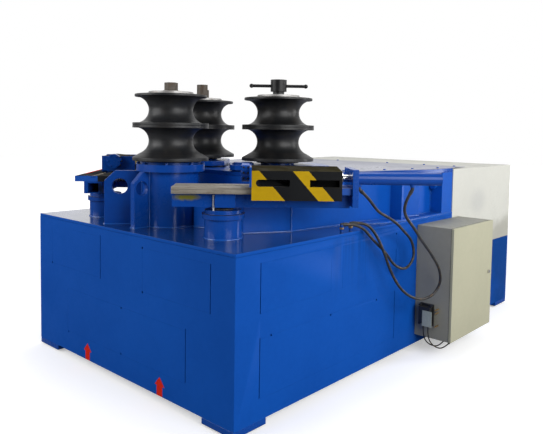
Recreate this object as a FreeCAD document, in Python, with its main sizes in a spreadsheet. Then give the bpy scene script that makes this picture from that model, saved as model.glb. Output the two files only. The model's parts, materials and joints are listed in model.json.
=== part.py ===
import FreeCAD, Part
import math
import os
import re
import Sketcher

# A three-roll hydraulic pipe bender with upright rollers, in millimetres.
# X runs to the right, Y to the back and Z up. The roller end faces -Y.
# The origin is on the floor, under the middle of the base box.

sections = {
    "base": {
        "base_length": 3700, "base_width": 2120, "deck_height": 1000, "deck_thickness": 20,
        "panel_thickness": 10, "panel_edge": 50, "floor_thickness": 12, "rear_bay": 1230,
        "rear_wall_drop": 330, "foot_length": 250, "foot_width": 260, "foot_pad": 12,
        "foot_pad_inset": 45, "web_thickness": 12, "side_web_x": 720, "cross_web_fwd": 100,
        "hood_drop": 7, "hood_sheet": 3, "hood_gap": 1,
    },
    "raised body": {
        "body_height": 365, "body_plate": 12, "body_wall": 20, "body_top": 30, "nose_x": 374,
        "nose_fwd": 1165, "cheek_x": 780, "cheek_fwd": 1087, "waist_x": 840, "waist_fwd": 600,
        "flare_inset": 120, "flare_fwd": 130, "tail_inset": 5, "tail_length": 180,
        "recess_length": 250, "recess_depth": 100, "hip_inset": 55, "hip_step": 20,
        "skirt_inset": 55, "skirt_fwd": 310, "skirt_tail_fwd": 50, "apron_height": 190,
        "apron_wall": 12, "apron_gap": 15, "apron_inner_fwd": 1415, "apron_x": 625,
        "apron_fwd": 1367, "gusset_fwd": 141, "gusset_thickness": 30, "gusset_inset": 25,
        "gusset_height": 290, "boss_radius": 27, "boss_length": 34, "boss_inset": 70,
        "boss_height": 228, "cover_sheet": 3,
        "cover_front_fwd": 560, "cover_inset": 24, "cover_flap": 280, "screw_head_radius": 10,
        "screw_head_height": 7, "screw_inset": 42, "inner_screw_x": 285, "middle_screw_x": 665,
        "outer_screw_x": 950,
    },
    "main roller": {
        "main_fwd": 1447, "housing_radius": 190, "flange_radius": 230,
        "flange_thickness": 48, "cap_radius": 205, "cap_thickness": 16, "main_rise": 10,
        "flange_bolts": 8,
        "flange_bolt_radius": 11, "flange_bolt_head": 12, "flange_bolt_circle": 218,
        "journal_radius": 85, "running_clearance": 0.05, "deck_hole_radius": 95,
        "drive_radius": 150, "drive_length": 340, "drive_flange_radius": 180,
        "drive_flange": 25, "drive_bore_length": 200, "motor_radius": 85, "motor_length": 240,
    },
    "rollers": {
        "die_height": 206.5, "die_radius": 255, "die_top_radius": 241, "bottom_rim": 29,
        "rim_face": 21,
        "neck_radius": 148, "groove_radius": 88, "seat_radius": 60, "seat_clearance": 0.1,
        "collar_radius": 150, "collar_thickness": 14, "collar_gap": 2, "washer_radius": 150,
        "washer_thickness": 20, "stud_radius": 30, "nut_flats": 80, "nut_height": 52,
        "nut_collar_radius": 56, "nut_collar": 10, "side_x": 407, "side_fwd": 813,
        "slot_nut_radius": 48, "slot_nut_height": 108, "slot_width": 34, "slot_depth": 40,
        "bar_nut_radius": 57, "bar_nut_neck_radius": 40, "bar_nut_neck": 27,
        "bar_nut_height": 82, "bar_radius": 11, "bar_length": 384, "bar_ball_radius": 15,
        "bar_height": 66, "bar_angle": 42,
    },
    "swing arms": {
        "arm_angle": 48, "arm_swing": 30, "arm_half_length": 340, "arm_front": 210,
        "arm_back": 200, "arm_chamfer": 90, "arm_lift": 10, "arm_thickness": 35,
        "sleeve_radius": 120, "sleeve_lift": 60, "sleeve_rise": 8, "side_journal_radius": 70,
        "pivot_along": 250, "pivot_ahead": 100, "pivot_radius": 50, "hub_radius": 75,
        "hub_rise": 10, "pin_shoulder_radius": 80, "pin_cap_radius": 66, "pin_cap": 6,
        "pin_seat_gap": 0.2, "pin_hole_clearance": 0.5, "slot_radius": 135, "side_drive_radius": 105,
        "side_drive_length": 330, "side_motor_radius": 75, "side_motor_length": 160,
        "ear_side": 15, "ear_reach": 205, "ear_width": 70, "ear_lift": 150,
        "ear_thickness": 40, "ear_pin_radius": 22, "ear_pin_rise": 42,
    },
    "arm cylinders": {
        "rear_pin_x": 560, "rear_pin_inset": 200, "rear_pin_radius": 25, "rear_shoulder": 40,
        "rear_pin_rise": 50, "rear_eye_radius": 50, "rear_eye_thickness": 50,
        "ram_radius": 55, "ram_bore_radius": 44, "ram_start": 45, "ram_cap": 30,
        "ram_end_gap": 275, "ram_gland": 25, "ram_rod_radius": 28, "piston_length": 40,
        "piston_from_cap": 365, "fork_gap": 5, "fork_tine": 28, "fork_radius": 60,
        "fork_eye_clearance": 17, "fork_yoke_gap": 80, "fork_yoke": 40, "fork_width": 90,
    },
    "guide units": {
        "guide_x": 439, "guide_fwd": 1776, "guide_angle": 45, "guide_front": 5,
        "guide_end": 1050, "beam_bottom": 192, "beam_width": 126, "beam_wall": 27, "beam_top_wall": 12,
        "slide_bottom": 275, "slide_thickness": 39, "slide_width": 250, "keyway_width": 36,
        "keyway_depth": 12, "bracket_width": 300,
        "bracket_thickness": 35, "bracket_bottom": 206, "bracket_top": 425,
        "bracket_arm_start": 500, "bracket_arm": 160, "bracket_arm_reach": 285,
        "bracket_arm_top": 238, "shoe_start": 255, "shoe_length": 120, "shoe_depth": 32,
        "post_along": 302, "post_across": 17.7, "post_radius": 114, "post_height": 117,
        "post_flange_radius": 127, "post_flange": 32, "post_cap_radius": 112, "post_cap": 23,
        "jack_disc_radius": 62, "jack_disc": 7, "jack_radius": 18, "jack_stud_radius": 5,
        "jack_stud_out": 26, "jack_stud_fwd": 103, "jack_stud_top": 265, "carriage_start": 467,
        "carriage_length": 518,
        "carriage_gap": 0.3, "carriage_top": 409, "gib_thickness": 10, "gib_gap": 0.5,
        "gib_bottom": 262, "carriage_inner": 48, "nose_plate": 12, "nose_plate_outer": 202,
        "nose_plate_top": 436, "nose_plate_rise": 8, "round_cap_radius": 54, "round_cap_length": 45,
        "round_cap_side": 50, "round_cap_height": 398, "round_cap_bolts": 6,
        "round_cap_bolt_radius": 6, "round_cap_bolt_head": 6, "round_cap_bolt_circle": 41,
        "cover_outer": 175, "cover_thickness": 6, "cover_bottom": 245,
        "cover_slot_height": 40, "cover_slot_middle": 345, "front_slot_start": 511,
        "front_slot_length": 173, "rear_slot_start": 799, "rear_slot_length": 170,
        "slot_pocket_depth": 60,
    },
    "guide cylinders": {
        "barrel_height": 365, "barrel_radius": 38, "barrel_bore_radius": 30,
        "barrel_length": 528, "barrel_gland": 40, "barrel_cap": 25, "rod_radius": 22,
        "rod_nut_radius": 34, "rod_nut_length": 30, "rod_length": 600, "head_length": 40,
        "port_radius": 16, "port_drop": 12, "rod_port_from_bracket": 30,
        "cap_port_from_bracket": 355,
    },
    "hoses": {
        "hose_diameter": 19, "stem_radius": 11, "stem_height": 48, "elbow_radius": 9.5,
        "ferrule_radius": 12, "ferrule_length": 24, "deck_elbow_length": 35,
        "first_port_inset": 46, "first_port_fwd": 860, "second_port_inset": 41,
        "second_port_fwd": 767, "port_elbow_drop": 15, "rod_elbow_length": 50,
        "cap_elbow_length": 30, "deck_elbow_azimuth": 60, "rod_elbow_azimuth": 94,
        "rod_elbow_dip": 28, "cap_elbow_azimuth": 215, "cap_elbow_dip": 62,
        "rod_hose_first_run": 94, "rod_hose_last_run": 92, "cap_hose_first_run": 46,
        "cap_hose_last_run": 57,
    },
    "cabinet": {
        "cabinet_depth": 294, "cabinet_front_back": 50, "cabinet_width": 695,
        "cabinet_bottom": 120, "cabinet_height": 838, "cabinet_sheet": 3, "door_depth": 20,
        "door_gap": 0.5, "lock_inset": 64, "lock_height": 552, "lock_radius": 11,
        "lock_clearance": 0.1, "lock_head_radius": 14, "lock_head": 10, "cam_length": 34,
        "cam_width": 16, "cam_thickness": 3, "gear_plate": 3, "gear_standoff": 12,
        "gear_plate_margin": 40, "plug_flange_width": 108, "plug_flange_height": 159,
        "plug_flange_depth": 14, "plug_bottom": 219, "plug_from_wall": 49, "plug_width": 90,
        "plug_height": 125, "plug_depth": 40, "plug_peg_radius": 7, "plug_peg_length": 30,
        "plug_peg_inset": 9, "plug_stub_radius": 8, "plug_stub": 16, "plug_stub_depth": 34,
        "first_stub_out": 31, "second_stub_out": 70, "gland_tilt": 45, "standoff_radius": 8,
        "standoff_inset": 30,
        "lead_diameter": 9, "gland_radius": 8, "gland_drop": 14, "gland_arm": 25,
        "gland_arm_radius": 6, "gland_sleeve": 12, "first_gland_out": 202,
        "first_gland_back": 116, "second_gland_out": 258, "second_gland_back": 80,
    },
    "lifting lugs": {
        "lug_thickness": 40, "lug_height": 363, "lug_chamfer": 70, "lug_hole_height": 257,
        "front_lug_reach": 308, "front_lug_hole": 248, "front_lug_hole_radius": 45,
        "left_lug_reach": 440, "left_lug_hole": 337, "left_lug_hole_radius": 52,
        "left_lug_angle": 228.7, "weld_gap": 0.3,
    },
    "power pack": {
        "tank_side_gap": 110, "tank_gap": 80, "tank_length": 800, "tank_width": 850,
        "tank_height": 500, "tank_wall": 5, "tank_lid": 8, "tank_lid_lip": 20,
        "motor_x": 480, "motor_gap": 180, "motor_body_radius": 150, "motor_body_length": 420,
        "motor_axis": 240, "motor_foot_width": 260, "motor_foot": 16, "bell_radius": 110,
        "bell_length": 130, "pump_radius": 70, "pump_length": 180, "fan_cowl_radius": 158,
        "fan_cowl_length": 70, "manifold_length": 420, "manifold_width": 160,
        "manifold_height": 110, "valve_width": 46, "valve_height": 70, "valve_length": 220,
        "valve_count": 5,
    },
}
values = {name: value for section in sections.values() for name, value in section.items()}

doc = FreeCAD.newDocument("pipe_bender")
sheet = doc.addObject("Spreadsheet::Sheet", "Sizes")
row = 1
for title, section in sections.items():
    sheet.set("A%d" % row, title)
    row += 1
    for name, value in section.items():
        sheet.set("A%d" % row, name)
        sheet.set("B%d" % row, str(value))
        sheet.setAlias("B%d" % row, name)
        row += 1
doc.recompute()

word = re.compile(r"[a-z][a-z0-9_]*")
nodes = {}


def formula(text):
    # Names of sizes become references to the sheet's cells.
    return word.sub(lambda found: "Sizes." + found[0] if found[0] in values else found[0], str(text))


def bind(thing, prop, text):
    thing.setExpression(prop, formula(text))


def place(thing, x, y, z, turn=None, axis=(0, 0, 1)):
    if turn is not None:
        thing.Placement = FreeCAD.Placement(FreeCAD.Vector(), FreeCAD.Rotation(FreeCAD.Vector(*axis), 1))
        bind(thing, "Placement.Rotation.Angle", turn)
    for prop, text in (("x", x), ("y", y), ("z", z)):
        bind(thing, "Placement.Base." + prop, text)
    return thing


def box(name, length, width, height, x, y, z):
    thing = doc.addObject("Part::Box", name)
    bind(thing, "Length", length)
    bind(thing, "Width", width)
    bind(thing, "Height", height)
    return place(thing, x, y, z)


def rod(name, radius, length, x, y, z, along="z"):
    # along x, y or z; a rod along y runs towards -Y.
    thing = doc.addObject("Part::Cylinder", name)
    bind(thing, "Radius", radius)
    bind(thing, "Height", length)
    turns = {"x": (90, (0, 1, 0)), "y": (90, (1, 0, 0)), "z": (None, (0, 0, 1))}
    turn, axis = turns[along]
    return place(thing, x, y, z, turn, axis)


def hexagon(name, radius, length, x, y, z, along="z"):
    thing = doc.addObject("Part::Prism", name)
    thing.Polygon = 6
    bind(thing, "Circumradius", radius)
    bind(thing, "Height", length)
    if along == "x":
        return place(thing, x, y, z, 90, (0, 1, 0))
    return place(thing, x, y, z)


def fused(name, parts):
    thing = doc.addObject("Part::MultiFuse", name)
    thing.Shapes = parts
    return thing


def cut(name, base, tools):
    thing = doc.addObject("Part::Cut", name)
    thing.Base = base
    thing.Tool = tools[0] if len(tools) == 1 else fused(name + "_tools", tools)
    return thing


def group(name, parts):
    thing = doc.addObject("Part::Compound", name)
    thing.Links = parts
    return thing


def mirrored(name, source):
    thing = doc.addObject("Part::Mirroring", name)
    thing.Source = source
    thing.Normal = FreeCAD.Vector(1, 0, 0)
    return thing


def pair(name, source):
    return group(name, [source, mirrored(name + "_left", source)])


def node(name, thing):
    thing.Label = name
    nodes[name] = thing
    return thing


def fill(sketch, points):
    # A closed outline; each corner is held by its own two distances from the origin.
    # Before they are set, the corners stand on a circle as wide as the base.
    count = len(points)
    width = values["base_width"]
    corner = [FreeCAD.Vector(width * (2 + math.cos(i)), width * (2 + math.sin(i)), 0) for i in range(count)]
    for i in range(count):
        sketch.addGeometry(Part.LineSegment(corner[i], corner[(i + 1) % count]))
    for i in range(count):
        sketch.addConstraint(Sketcher.Constraint("Coincident", i, 2, (i + 1) % count, 1))
    for i, point in enumerate(points):
        for kind, text, start in (("DistanceX", point[0], corner[i].x), ("DistanceY", point[1], corner[i].y)):
            index = sketch.addConstraint(Sketcher.Constraint(kind, -1, 1, i, 1, start))
            sketch.setExpression("Constraints[%d]" % index, formula(text))


def body_with_sketch(name, plane, points):
    body = doc.addObject("PartDesign::Body", name)
    sketch = body.newObject("Sketcher::SketchObject", name + "_outline")
    sketch.AttachmentSupport = [([f for f in body.Origin.OriginFeatures if f.Role == plane][0], "")]
    sketch.MapMode = "FlatFace"
    fill(sketch, points)
    return body, sketch


def plate(name, points, thickness, x="0", y="0", z="0"):
    body, sketch = body_with_sketch(name, "XY_Plane", points)
    pad = body.newObject("PartDesign::Pad", name + "_pad")
    pad.Profile = sketch
    bind(pad, "Length", thickness)
    return place(body, x, y, z)


def turned(name, profile, x="0", y="0", z="0"):
    # profile points are (radius, height) about the piece's own upright axis.
    body, sketch = body_with_sketch(name, "XZ_Plane", profile)
    turn = body.newObject("PartDesign::Revolution", name + "_turn")
    turn.Profile = sketch
    turn.ReferenceAxis = (sketch, ["V_Axis"])
    turn.Angle = 360
    return place(body, x, y, z)


def walls(name, points, wall, height, z):
    outline = doc.addObject("Sketcher::SketchObject", name + "_outline")
    fill(outline, points)
    inner = doc.addObject("Part::Offset2D", name + "_inner")
    inner.Source = outline
    inner.Join = 2
    bind(inner, "Value", "-" + wall)
    blocks = []
    for source in (outline, inner):
        block = doc.addObject("Part::Extrusion", source.Name + "_block")
        block.Base = source
        block.DirMode = "Custom"
        block.Dir = FreeCAD.Vector(0, 0, 1)
        block.Solid = True
        bind(block, "LengthFwd", height)
        blocks.append(block)
    return place(cut(name, blocks[0], [blocks[1]]), "0", "0", z)


def both_sides(points):
    return points + [("-(%s)" % x, y) for x, y in reversed(points)]


half_width = "base_width / 2"
half_length = "base_length / 2"
body_back = "(base_length / 2 - rear_bay)"
tail_back = "(base_length / 2 - rear_bay - tail_length)"
recess_back = "(base_length / 2 - rear_bay - tail_length - recess_length)"
hip_back = "(base_length / 2 - rear_bay - tail_length - recess_length - hip_step)"
tail_x = "(base_width / 2 - tail_inset)"
recess_x = "(base_width / 2 - tail_inset - recess_depth)"
hip_x = "(base_width / 2 - tail_inset - hip_inset)"
flare_x = "(base_width / 2 - tail_inset - flare_inset)"
body_top_z = "(deck_height + body_height)"
rear_wall_top = "(deck_height - rear_wall_drop)"
sleeve_bottom = "(deck_height + sleeve_lift)"
ear_height = "(deck_height + ear_lift)"
rear_pin_back = "(base_length / 2 - rear_bay - rear_pin_inset)"
plate_corner_y = "(%s + %s) / 2" % (hip_back, tail_back)
post_x = "(guide_x + post_along * cos(guide_angle) - post_across * sin(guide_angle))"
post_y = "(-guide_fwd + post_along * sin(guide_angle) + post_across * cos(guide_angle))"
arm_top_z = "(deck_height + body_height + arm_lift + arm_thickness + sleeve_rise)"
collar_z = "(%s + collar_gap)" % arm_top_z
die_bottom = "(%s + collar_thickness)" % collar_z
die_low = "(%s + bottom_rim)" % die_bottom
die_top = "(%s + 2 * die_height)" % die_low
pivot_x = "(side_x - pivot_along * cos(arm_angle) + pivot_ahead * sin(arm_angle))"
pivot_y = "(-side_fwd - pivot_along * sin(arm_angle) - pivot_ahead * cos(arm_angle))"


# Base box

def make_base():
    wall_height = "deck_height - deck_thickness - panel_edge"
    front = box("front_panel", "base_width", "panel_thickness", wall_height,
                "-base_width / 2", "-base_length / 2", "panel_edge")
    rear = box("rear_panel", "base_width", "panel_thickness", rear_wall_top + " - panel_edge",
               "-base_width / 2", half_length + " - panel_thickness", "panel_edge")
    node("end_panels", group("end_panels", [front, rear]))

    side_x = half_width + " - panel_thickness"
    tall = box("side_panel_tall", "panel_thickness", "base_length - rear_bay - panel_thickness",
               wall_height, side_x, "-base_length / 2 + panel_thickness", "panel_edge")
    low = box("side_panel_low", "panel_thickness", "rear_bay - panel_thickness",
              rear_wall_top + " - panel_edge", side_x, body_back, "panel_edge")
    node("side_panels", pair("side_panels", fused("side_panel", [tall, low])))

    inner_width = "(base_width - 2 * panel_thickness)"
    web_height = "deck_height - deck_thickness - panel_edge - floor_thickness"
    web_z = "panel_edge + floor_thickness"
    web_length = "base_length - rear_bay - panel_thickness - web_thickness"
    floor = box("floor_plate", inner_width, "base_length - 2 * panel_thickness", "floor_thickness",
                "-base_width / 2 + panel_thickness", "-base_length / 2 + panel_thickness", "panel_edge")
    divider = box("rear_divider", inner_width, "web_thickness", web_height,
                  "-base_width / 2 + panel_thickness", body_back + " - web_thickness", web_z)
    side_web = box("side_web", "web_thickness", web_length, web_height,
                   "side_web_x", "-base_length / 2 + panel_thickness", web_z)
    cross_web = box("cross_web", "2 * side_web_x", "web_thickness", web_height,
                    "-side_web_x", "-cross_web_fwd", web_z)
    node("base_frame", group("base_frame", [floor, divider, side_web, mirrored("side_web_left", side_web),
                                            cross_web]))

    feet = []
    for name, y, pad_y in (
            ("front_foot", "-base_length / 2", "-base_length / 2 + foot_pad_inset"),
            ("rear_foot", half_length + " - foot_length", half_length + " - foot_length + foot_pad_inset")):
        block = box(name + "_block", "foot_width", "foot_length", "panel_edge - foot_pad",
                    half_width + " - foot_width", y, "foot_pad")
        pad = box(name + "_pad", "foot_width - 2 * foot_pad_inset", "foot_length - 2 * foot_pad_inset",
                  "foot_pad", half_width + " - foot_width + foot_pad_inset", pad_y, "0")
        foot = fused(name, [block, pad])
        feet += [foot, mirrored(name + "_left", foot)]
    node("base_feet", group("base_feet", feet))


def make_arm_slot():
    # The stadium-shaped way that a swing arm's sleeve sweeps, cut through deck and body plates.
    slot = doc.addObject("Part::Feature", "arm_slot")
    angle = math.radians(values["arm_angle"])
    swing = math.radians(values["arm_swing"])
    rest = FreeCAD.Vector(values["side_x"], -values["side_fwd"], 0)
    arm = FreeCAD.Vector(values["pivot_along"] * math.cos(angle) - values["pivot_ahead"] * math.sin(angle),
                         values["pivot_along"] * math.sin(angle) + values["pivot_ahead"] * math.cos(angle), 0)
    end = rest - arm + FreeCAD.Rotation(FreeCAD.Vector(0, 0, -1), math.degrees(swing)).multVec(arm)
    radius = values["slot_radius"]
    run = (end - rest).normalize()
    side = FreeCAD.Vector(-run.y, run.x, 0) * radius
    edges = [Part.LineSegment(rest + side, end + side).toShape(),
             Part.Arc(end + side, end + run * radius, end - side).toShape(),
             Part.LineSegment(end - side, rest - side).toShape(),
             Part.Arc(rest - side, rest - run * radius, rest + side).toShape()]
    depth = values["deck_thickness"] + values["body_height"]
    slot.Shape = Part.Face(Part.Wire(edges)).extrude(FreeCAD.Vector(0, 0, depth))
    place(slot, "0", "0", "deck_height - deck_thickness")
    return slot, mirrored("arm_slot_left", slot)


def make_deck(slots):
    blank = box("deck_blank", "base_width", "base_length - rear_bay", "deck_thickness",
                "-base_width / 2", "-base_length / 2", "deck_height - deck_thickness")
    hole = rod("deck_hole", "deck_hole_radius", "deck_thickness", "0", "-main_fwd",
               "deck_height - deck_thickness")
    node("deck_plate", cut("deck_plate", blank, [hole] + list(slots)))


def make_hood():
    length = "(rear_bay - hood_gap)"
    height = "(rear_wall_drop + body_height - hood_drop)"
    outer = box("hood_outer", "base_width", length, height, "-base_width / 2", body_back + " + hood_gap",
                rear_wall_top)
    inner = box("hood_inner", "base_width - 2 * hood_sheet", length + " - 2 * hood_sheet",
                height + " - hood_sheet",
                "-base_width / 2 + hood_sheet", body_back + " + hood_gap + hood_sheet", rear_wall_top)
    node("rear_hood", cut("rear_hood", outer, [inner]))


# Raised body on the deck

def top_outline():
    return both_sides([("nose_x", "-nose_fwd"), ("cheek_x", "-cheek_fwd"), ("waist_x", "-waist_fwd"),
                       (flare_x, "-flare_fwd"), (tail_x, plate_corner_y), (tail_x, body_back)])


def make_body(slots):
    wall_outline = both_sides([
        ("nose_x", "-nose_fwd"), ("cheek_x", "-cheek_fwd"), ("waist_x", "-waist_fwd"),
        (flare_x, "-flare_fwd"), (hip_x, hip_back), (recess_x, recess_back),
        (recess_x, tail_back), (tail_x, tail_back), (tail_x, body_back)])
    ring = walls("body_ring", wall_outline, "body_wall", "body_height - body_plate - body_top",
                 "deck_height + body_plate")
    skirt = plate("body_skirt", both_sides([
        ("nose_x", "-nose_fwd"), ("cheek_x", "-cheek_fwd"), ("waist_x", "-waist_fwd"),
        (tail_x + " - skirt_inset", "-skirt_fwd"), (tail_x, "-skirt_tail_fwd"), (tail_x, body_back)]),
        "body_plate", z="deck_height")
    floor = cut("body_floor", skirt, list(slots))
    gusset = box("side_gusset", "flare_inset - gusset_inset + 2 * body_wall", "gusset_thickness",
                 "gusset_height", flare_x + " - 2 * body_wall", "-gusset_fwd", "deck_height + body_plate")
    boss = rod("side_boss", "boss_radius", "boss_length", tail_x + " - boss_inset", tail_back,
               "deck_height + boss_height", "y")
    apron_inner = "housing_radius + apron_gap"
    apron_points = [(apron_inner, "-nose_fwd"), (apron_inner, "-apron_inner_fwd"),
                    ("apron_x", "-apron_fwd"), ("cheek_x", "-cheek_fwd"), ("nose_x", "-nose_fwd")]
    apron_ring = walls("apron_ring", apron_points, "apron_wall", "apron_height - apron_wall", "deck_height")
    apron_top = plate("apron_top", apron_points, "apron_wall", z="deck_height + apron_height - apron_wall")
    apron = fused("apron", [apron_ring, apron_top])
    sides = [gusset, boss, apron]
    left = [mirrored(side.Name + "_left", side) for side in sides]
    node("body_walls", fused("body_walls", [ring, floor] + sides + left))

    blank = plate("body_top_blank", top_outline(), "body_top", z=body_top_z + " - body_top")
    holes = rod("pivot_hole", "pivot_radius + pin_hole_clearance", "body_top", pivot_x, pivot_y,
                body_top_z + " - body_top")
    node("body_top_plate", cut("body_top_plate", blank,
                               [holes, mirrored("pivot_hole_left", holes)] + list(slots)))


def make_cover():
    flap_back = body_back + " + cover_flap"
    points = both_sides([("waist_x - cover_inset", "-cover_front_fwd"),
                         (flare_x + " - cover_inset", "-flare_fwd"),
                         (tail_x + " - cover_inset", plate_corner_y), (tail_x + " - cover_inset", flap_back)])
    sheet_part = plate("top_cover", points, "cover_sheet", z=body_top_z)
    node("top_cover", sheet_part)
    z = body_top_z + " + cover_sheet"
    spots = [(flare_x + " - cover_inset - screw_inset", "-flare_fwd"),
             (hip_x + " - cover_inset - screw_inset", hip_back),
             (tail_x + " - cover_inset - screw_inset", tail_back + " + screw_inset"),
             ("waist_x - cover_inset - screw_inset", "-cover_front_fwd + screw_inset")]
    spots += [(x, flap_back + " - screw_inset") for x in ("inner_screw_x", "middle_screw_x", "outer_screw_x")]
    screws = []
    for i, (x, y) in enumerate(spots):
        head = doc.addObject("Part::Cylinder", "cover_screw_%d" % i)
        bind(head, "Radius", "screw_head_radius")
        bind(head, "Height", "screw_head_height")
        place(head, x, y, z)
        screws += [head, mirrored("cover_screw_left_%d" % i, head)]
    node("cover_screws", group("cover_screws", screws))


# Main roller's housing and drive

def make_main_housing():
    # The housing ends a little above the side rollers' sleeves.
    top = "(%s + main_rise - deck_height - cap_thickness)" % arm_top_z
    under_flange = top + " - flange_thickness"
    shell = turned("housing_shell", [
        ("journal_radius + running_clearance", "0"), ("housing_radius", "0"),
        ("housing_radius", under_flange), ("flange_radius", under_flange), ("flange_radius", top),
        ("cap_radius", top), ("cap_radius", top + " + cap_thickness"),
        ("journal_radius + running_clearance", top + " + cap_thickness")], y="-main_fwd", z="deck_height")
    bolts = []
    for i in range(int(values["flange_bolts"])):
        turn = "(%d * 360 / flange_bolts)" % i
        bolts.append(hexagon("flange_bolt_%d" % i, "flange_bolt_radius", "flange_bolt_head",
                             "flange_bolt_circle * cos%s" % turn,
                             "-main_fwd + flange_bolt_circle * sin%s" % turn,
                             "deck_height + " + top))
    node("main_housing", fused("main_housing", [shell] + bolts))


def make_main_drive():
    top = "deck_height - deck_thickness"
    node("main_drive", turned("main_drive", [
        ("0", "-drive_length - motor_length"), ("motor_radius", "-drive_length - motor_length"),
        ("motor_radius", "-drive_length"), ("drive_radius", "-drive_length"),
        ("drive_radius", "-drive_flange"),
        ("drive_flange_radius", "-drive_flange"), ("drive_flange_radius", "0"),
        ("seat_radius + seat_clearance", "0"), ("seat_radius + seat_clearance", "-drive_bore_length"),
        ("0", "-drive_bore_length")], y="-main_fwd", z=top))


def make_lugs():
    lugs = []
    for name, reach, hole, radius, angle in (
            ("front_lug", "front_lug_reach", "front_lug_hole", "front_lug_hole_radius", "270"),
            ("left_lug", "left_lug_reach", "left_lug_hole", "left_lug_hole_radius", "left_lug_angle")):
        block = box(name + "_block", reach, "lug_thickness", "lug_height", "0", "-lug_thickness / 2", "0")
        corner = box(name + "_corner", "2 * lug_chamfer", "lug_thickness", "2 * lug_chamfer", "0", "0", "0")
        place(corner, reach, "-lug_thickness / 2", "lug_height - lug_chamfer", "-45", (0, 1, 0))
        # The corner block is turned so that one face is the chamfer.
        eye = rod(name + "_eye", radius, "lug_thickness", hole, "lug_thickness / 2", "lug_hole_height", "y")
        seat = rod(name + "_seat", "housing_radius + weld_gap", "lug_height", "0", "0", "0")
        lug = cut(name, block, [corner, eye, seat])
        lugs.append(place(lug, "0", "-main_fwd", "deck_height", angle))
    node("lifting_lugs", group("lifting_lugs", lugs))


# Rollers, each a spindle with two grooved dies, a washer and a clamp nut

def flank_start():
    # Where the lower die's flank leaves the groove's circle, as radius and height.
    radius = values["groove_radius"]
    centre = (values["neck_radius"] + radius, values["die_height"] / 2)
    edge = (values["die_radius"], values["rim_face"] - values["bottom_rim"])
    run = (centre[0] - edge[0], centre[1] - edge[1])
    reach = math.hypot(run[0], run[1])
    turn = math.atan2(run[1], run[0]) + math.asin(radius / reach)
    length = math.sqrt(reach ** 2 - radius ** 2)
    return str(edge[0] + length * math.cos(turn)), str(edge[1] + length * math.sin(turn))


def make_die(name, x, y, level):
    bore = "seat_radius + seat_clearance"
    if level:
        outline = [(bore, "0"), ("die_radius", "0"), ("die_radius", "die_height / 2"),
                   ("die_top_radius", "die_height / 2"), ("die_top_radius", "die_height"),
                   (bore, "die_height")]
    else:
        outline = [(bore, "-bottom_rim"), ("die_radius", "-bottom_rim"),
                   ("die_radius", "rim_face - bottom_rim"), flank_start(),
                   ("die_radius", "die_height / 2"), ("die_radius", "die_height"), (bore, "die_height")]
    die = turned(name, outline, x, y, "%s + %d * die_height" % (die_low, level))
    sketch = die.newObject("Sketcher::SketchObject", name + "_groove_circle")
    sketch.AttachmentSupport = [([f for f in die.Origin.OriginFeatures if f.Role == "XZ_Plane"][0], "")]
    sketch.MapMode = "FlatFace"
    radius = values["groove_radius"]
    centre = FreeCAD.Vector(values["neck_radius"] + radius, values["die_height"] / 2, 0)
    sketch.addGeometry(Part.Circle(centre, FreeCAD.Vector(0, 0, 1), radius))
    for constraint, text in ((Sketcher.Constraint("Radius", 0, radius), "groove_radius"),
                             (Sketcher.Constraint("DistanceX", -1, 1, 0, 3, centre.x),
                              "neck_radius + groove_radius"),
                             (Sketcher.Constraint("DistanceY", -1, 1, 0, 3, centre.y), "die_height / 2")):
        index = sketch.addConstraint(constraint)
        sketch.setExpression("Constraints[%d]" % index, formula(text))
    groove = die.newObject("PartDesign::Groove", name + "_groove")
    groove.Profile = sketch
    groove.ReferenceAxis = (sketch, ["V_Axis"])
    groove.Angle = 360
    return node(name, die)


def make_spindle(name, x, y, journal, bottom, step, collar, stud):
    node(name, turned(name, [
        ("0", bottom), ("seat_radius", bottom), ("seat_radius", step), (journal, step),
        (journal, collar), ("collar_radius", collar), ("collar_radius", die_bottom),
        ("seat_radius", die_bottom), ("seat_radius", die_top), ("stud_radius", die_top),
        ("stud_radius", stud), ("0", stud)], x, y))


def make_washer(name, x, y):
    node(name, turned(name, [("stud_radius + seat_clearance", "0"), ("washer_radius", "0"),
                             ("washer_radius", "washer_thickness"),
                             ("stud_radius + seat_clearance", "washer_thickness")], x, y, die_top))


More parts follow.
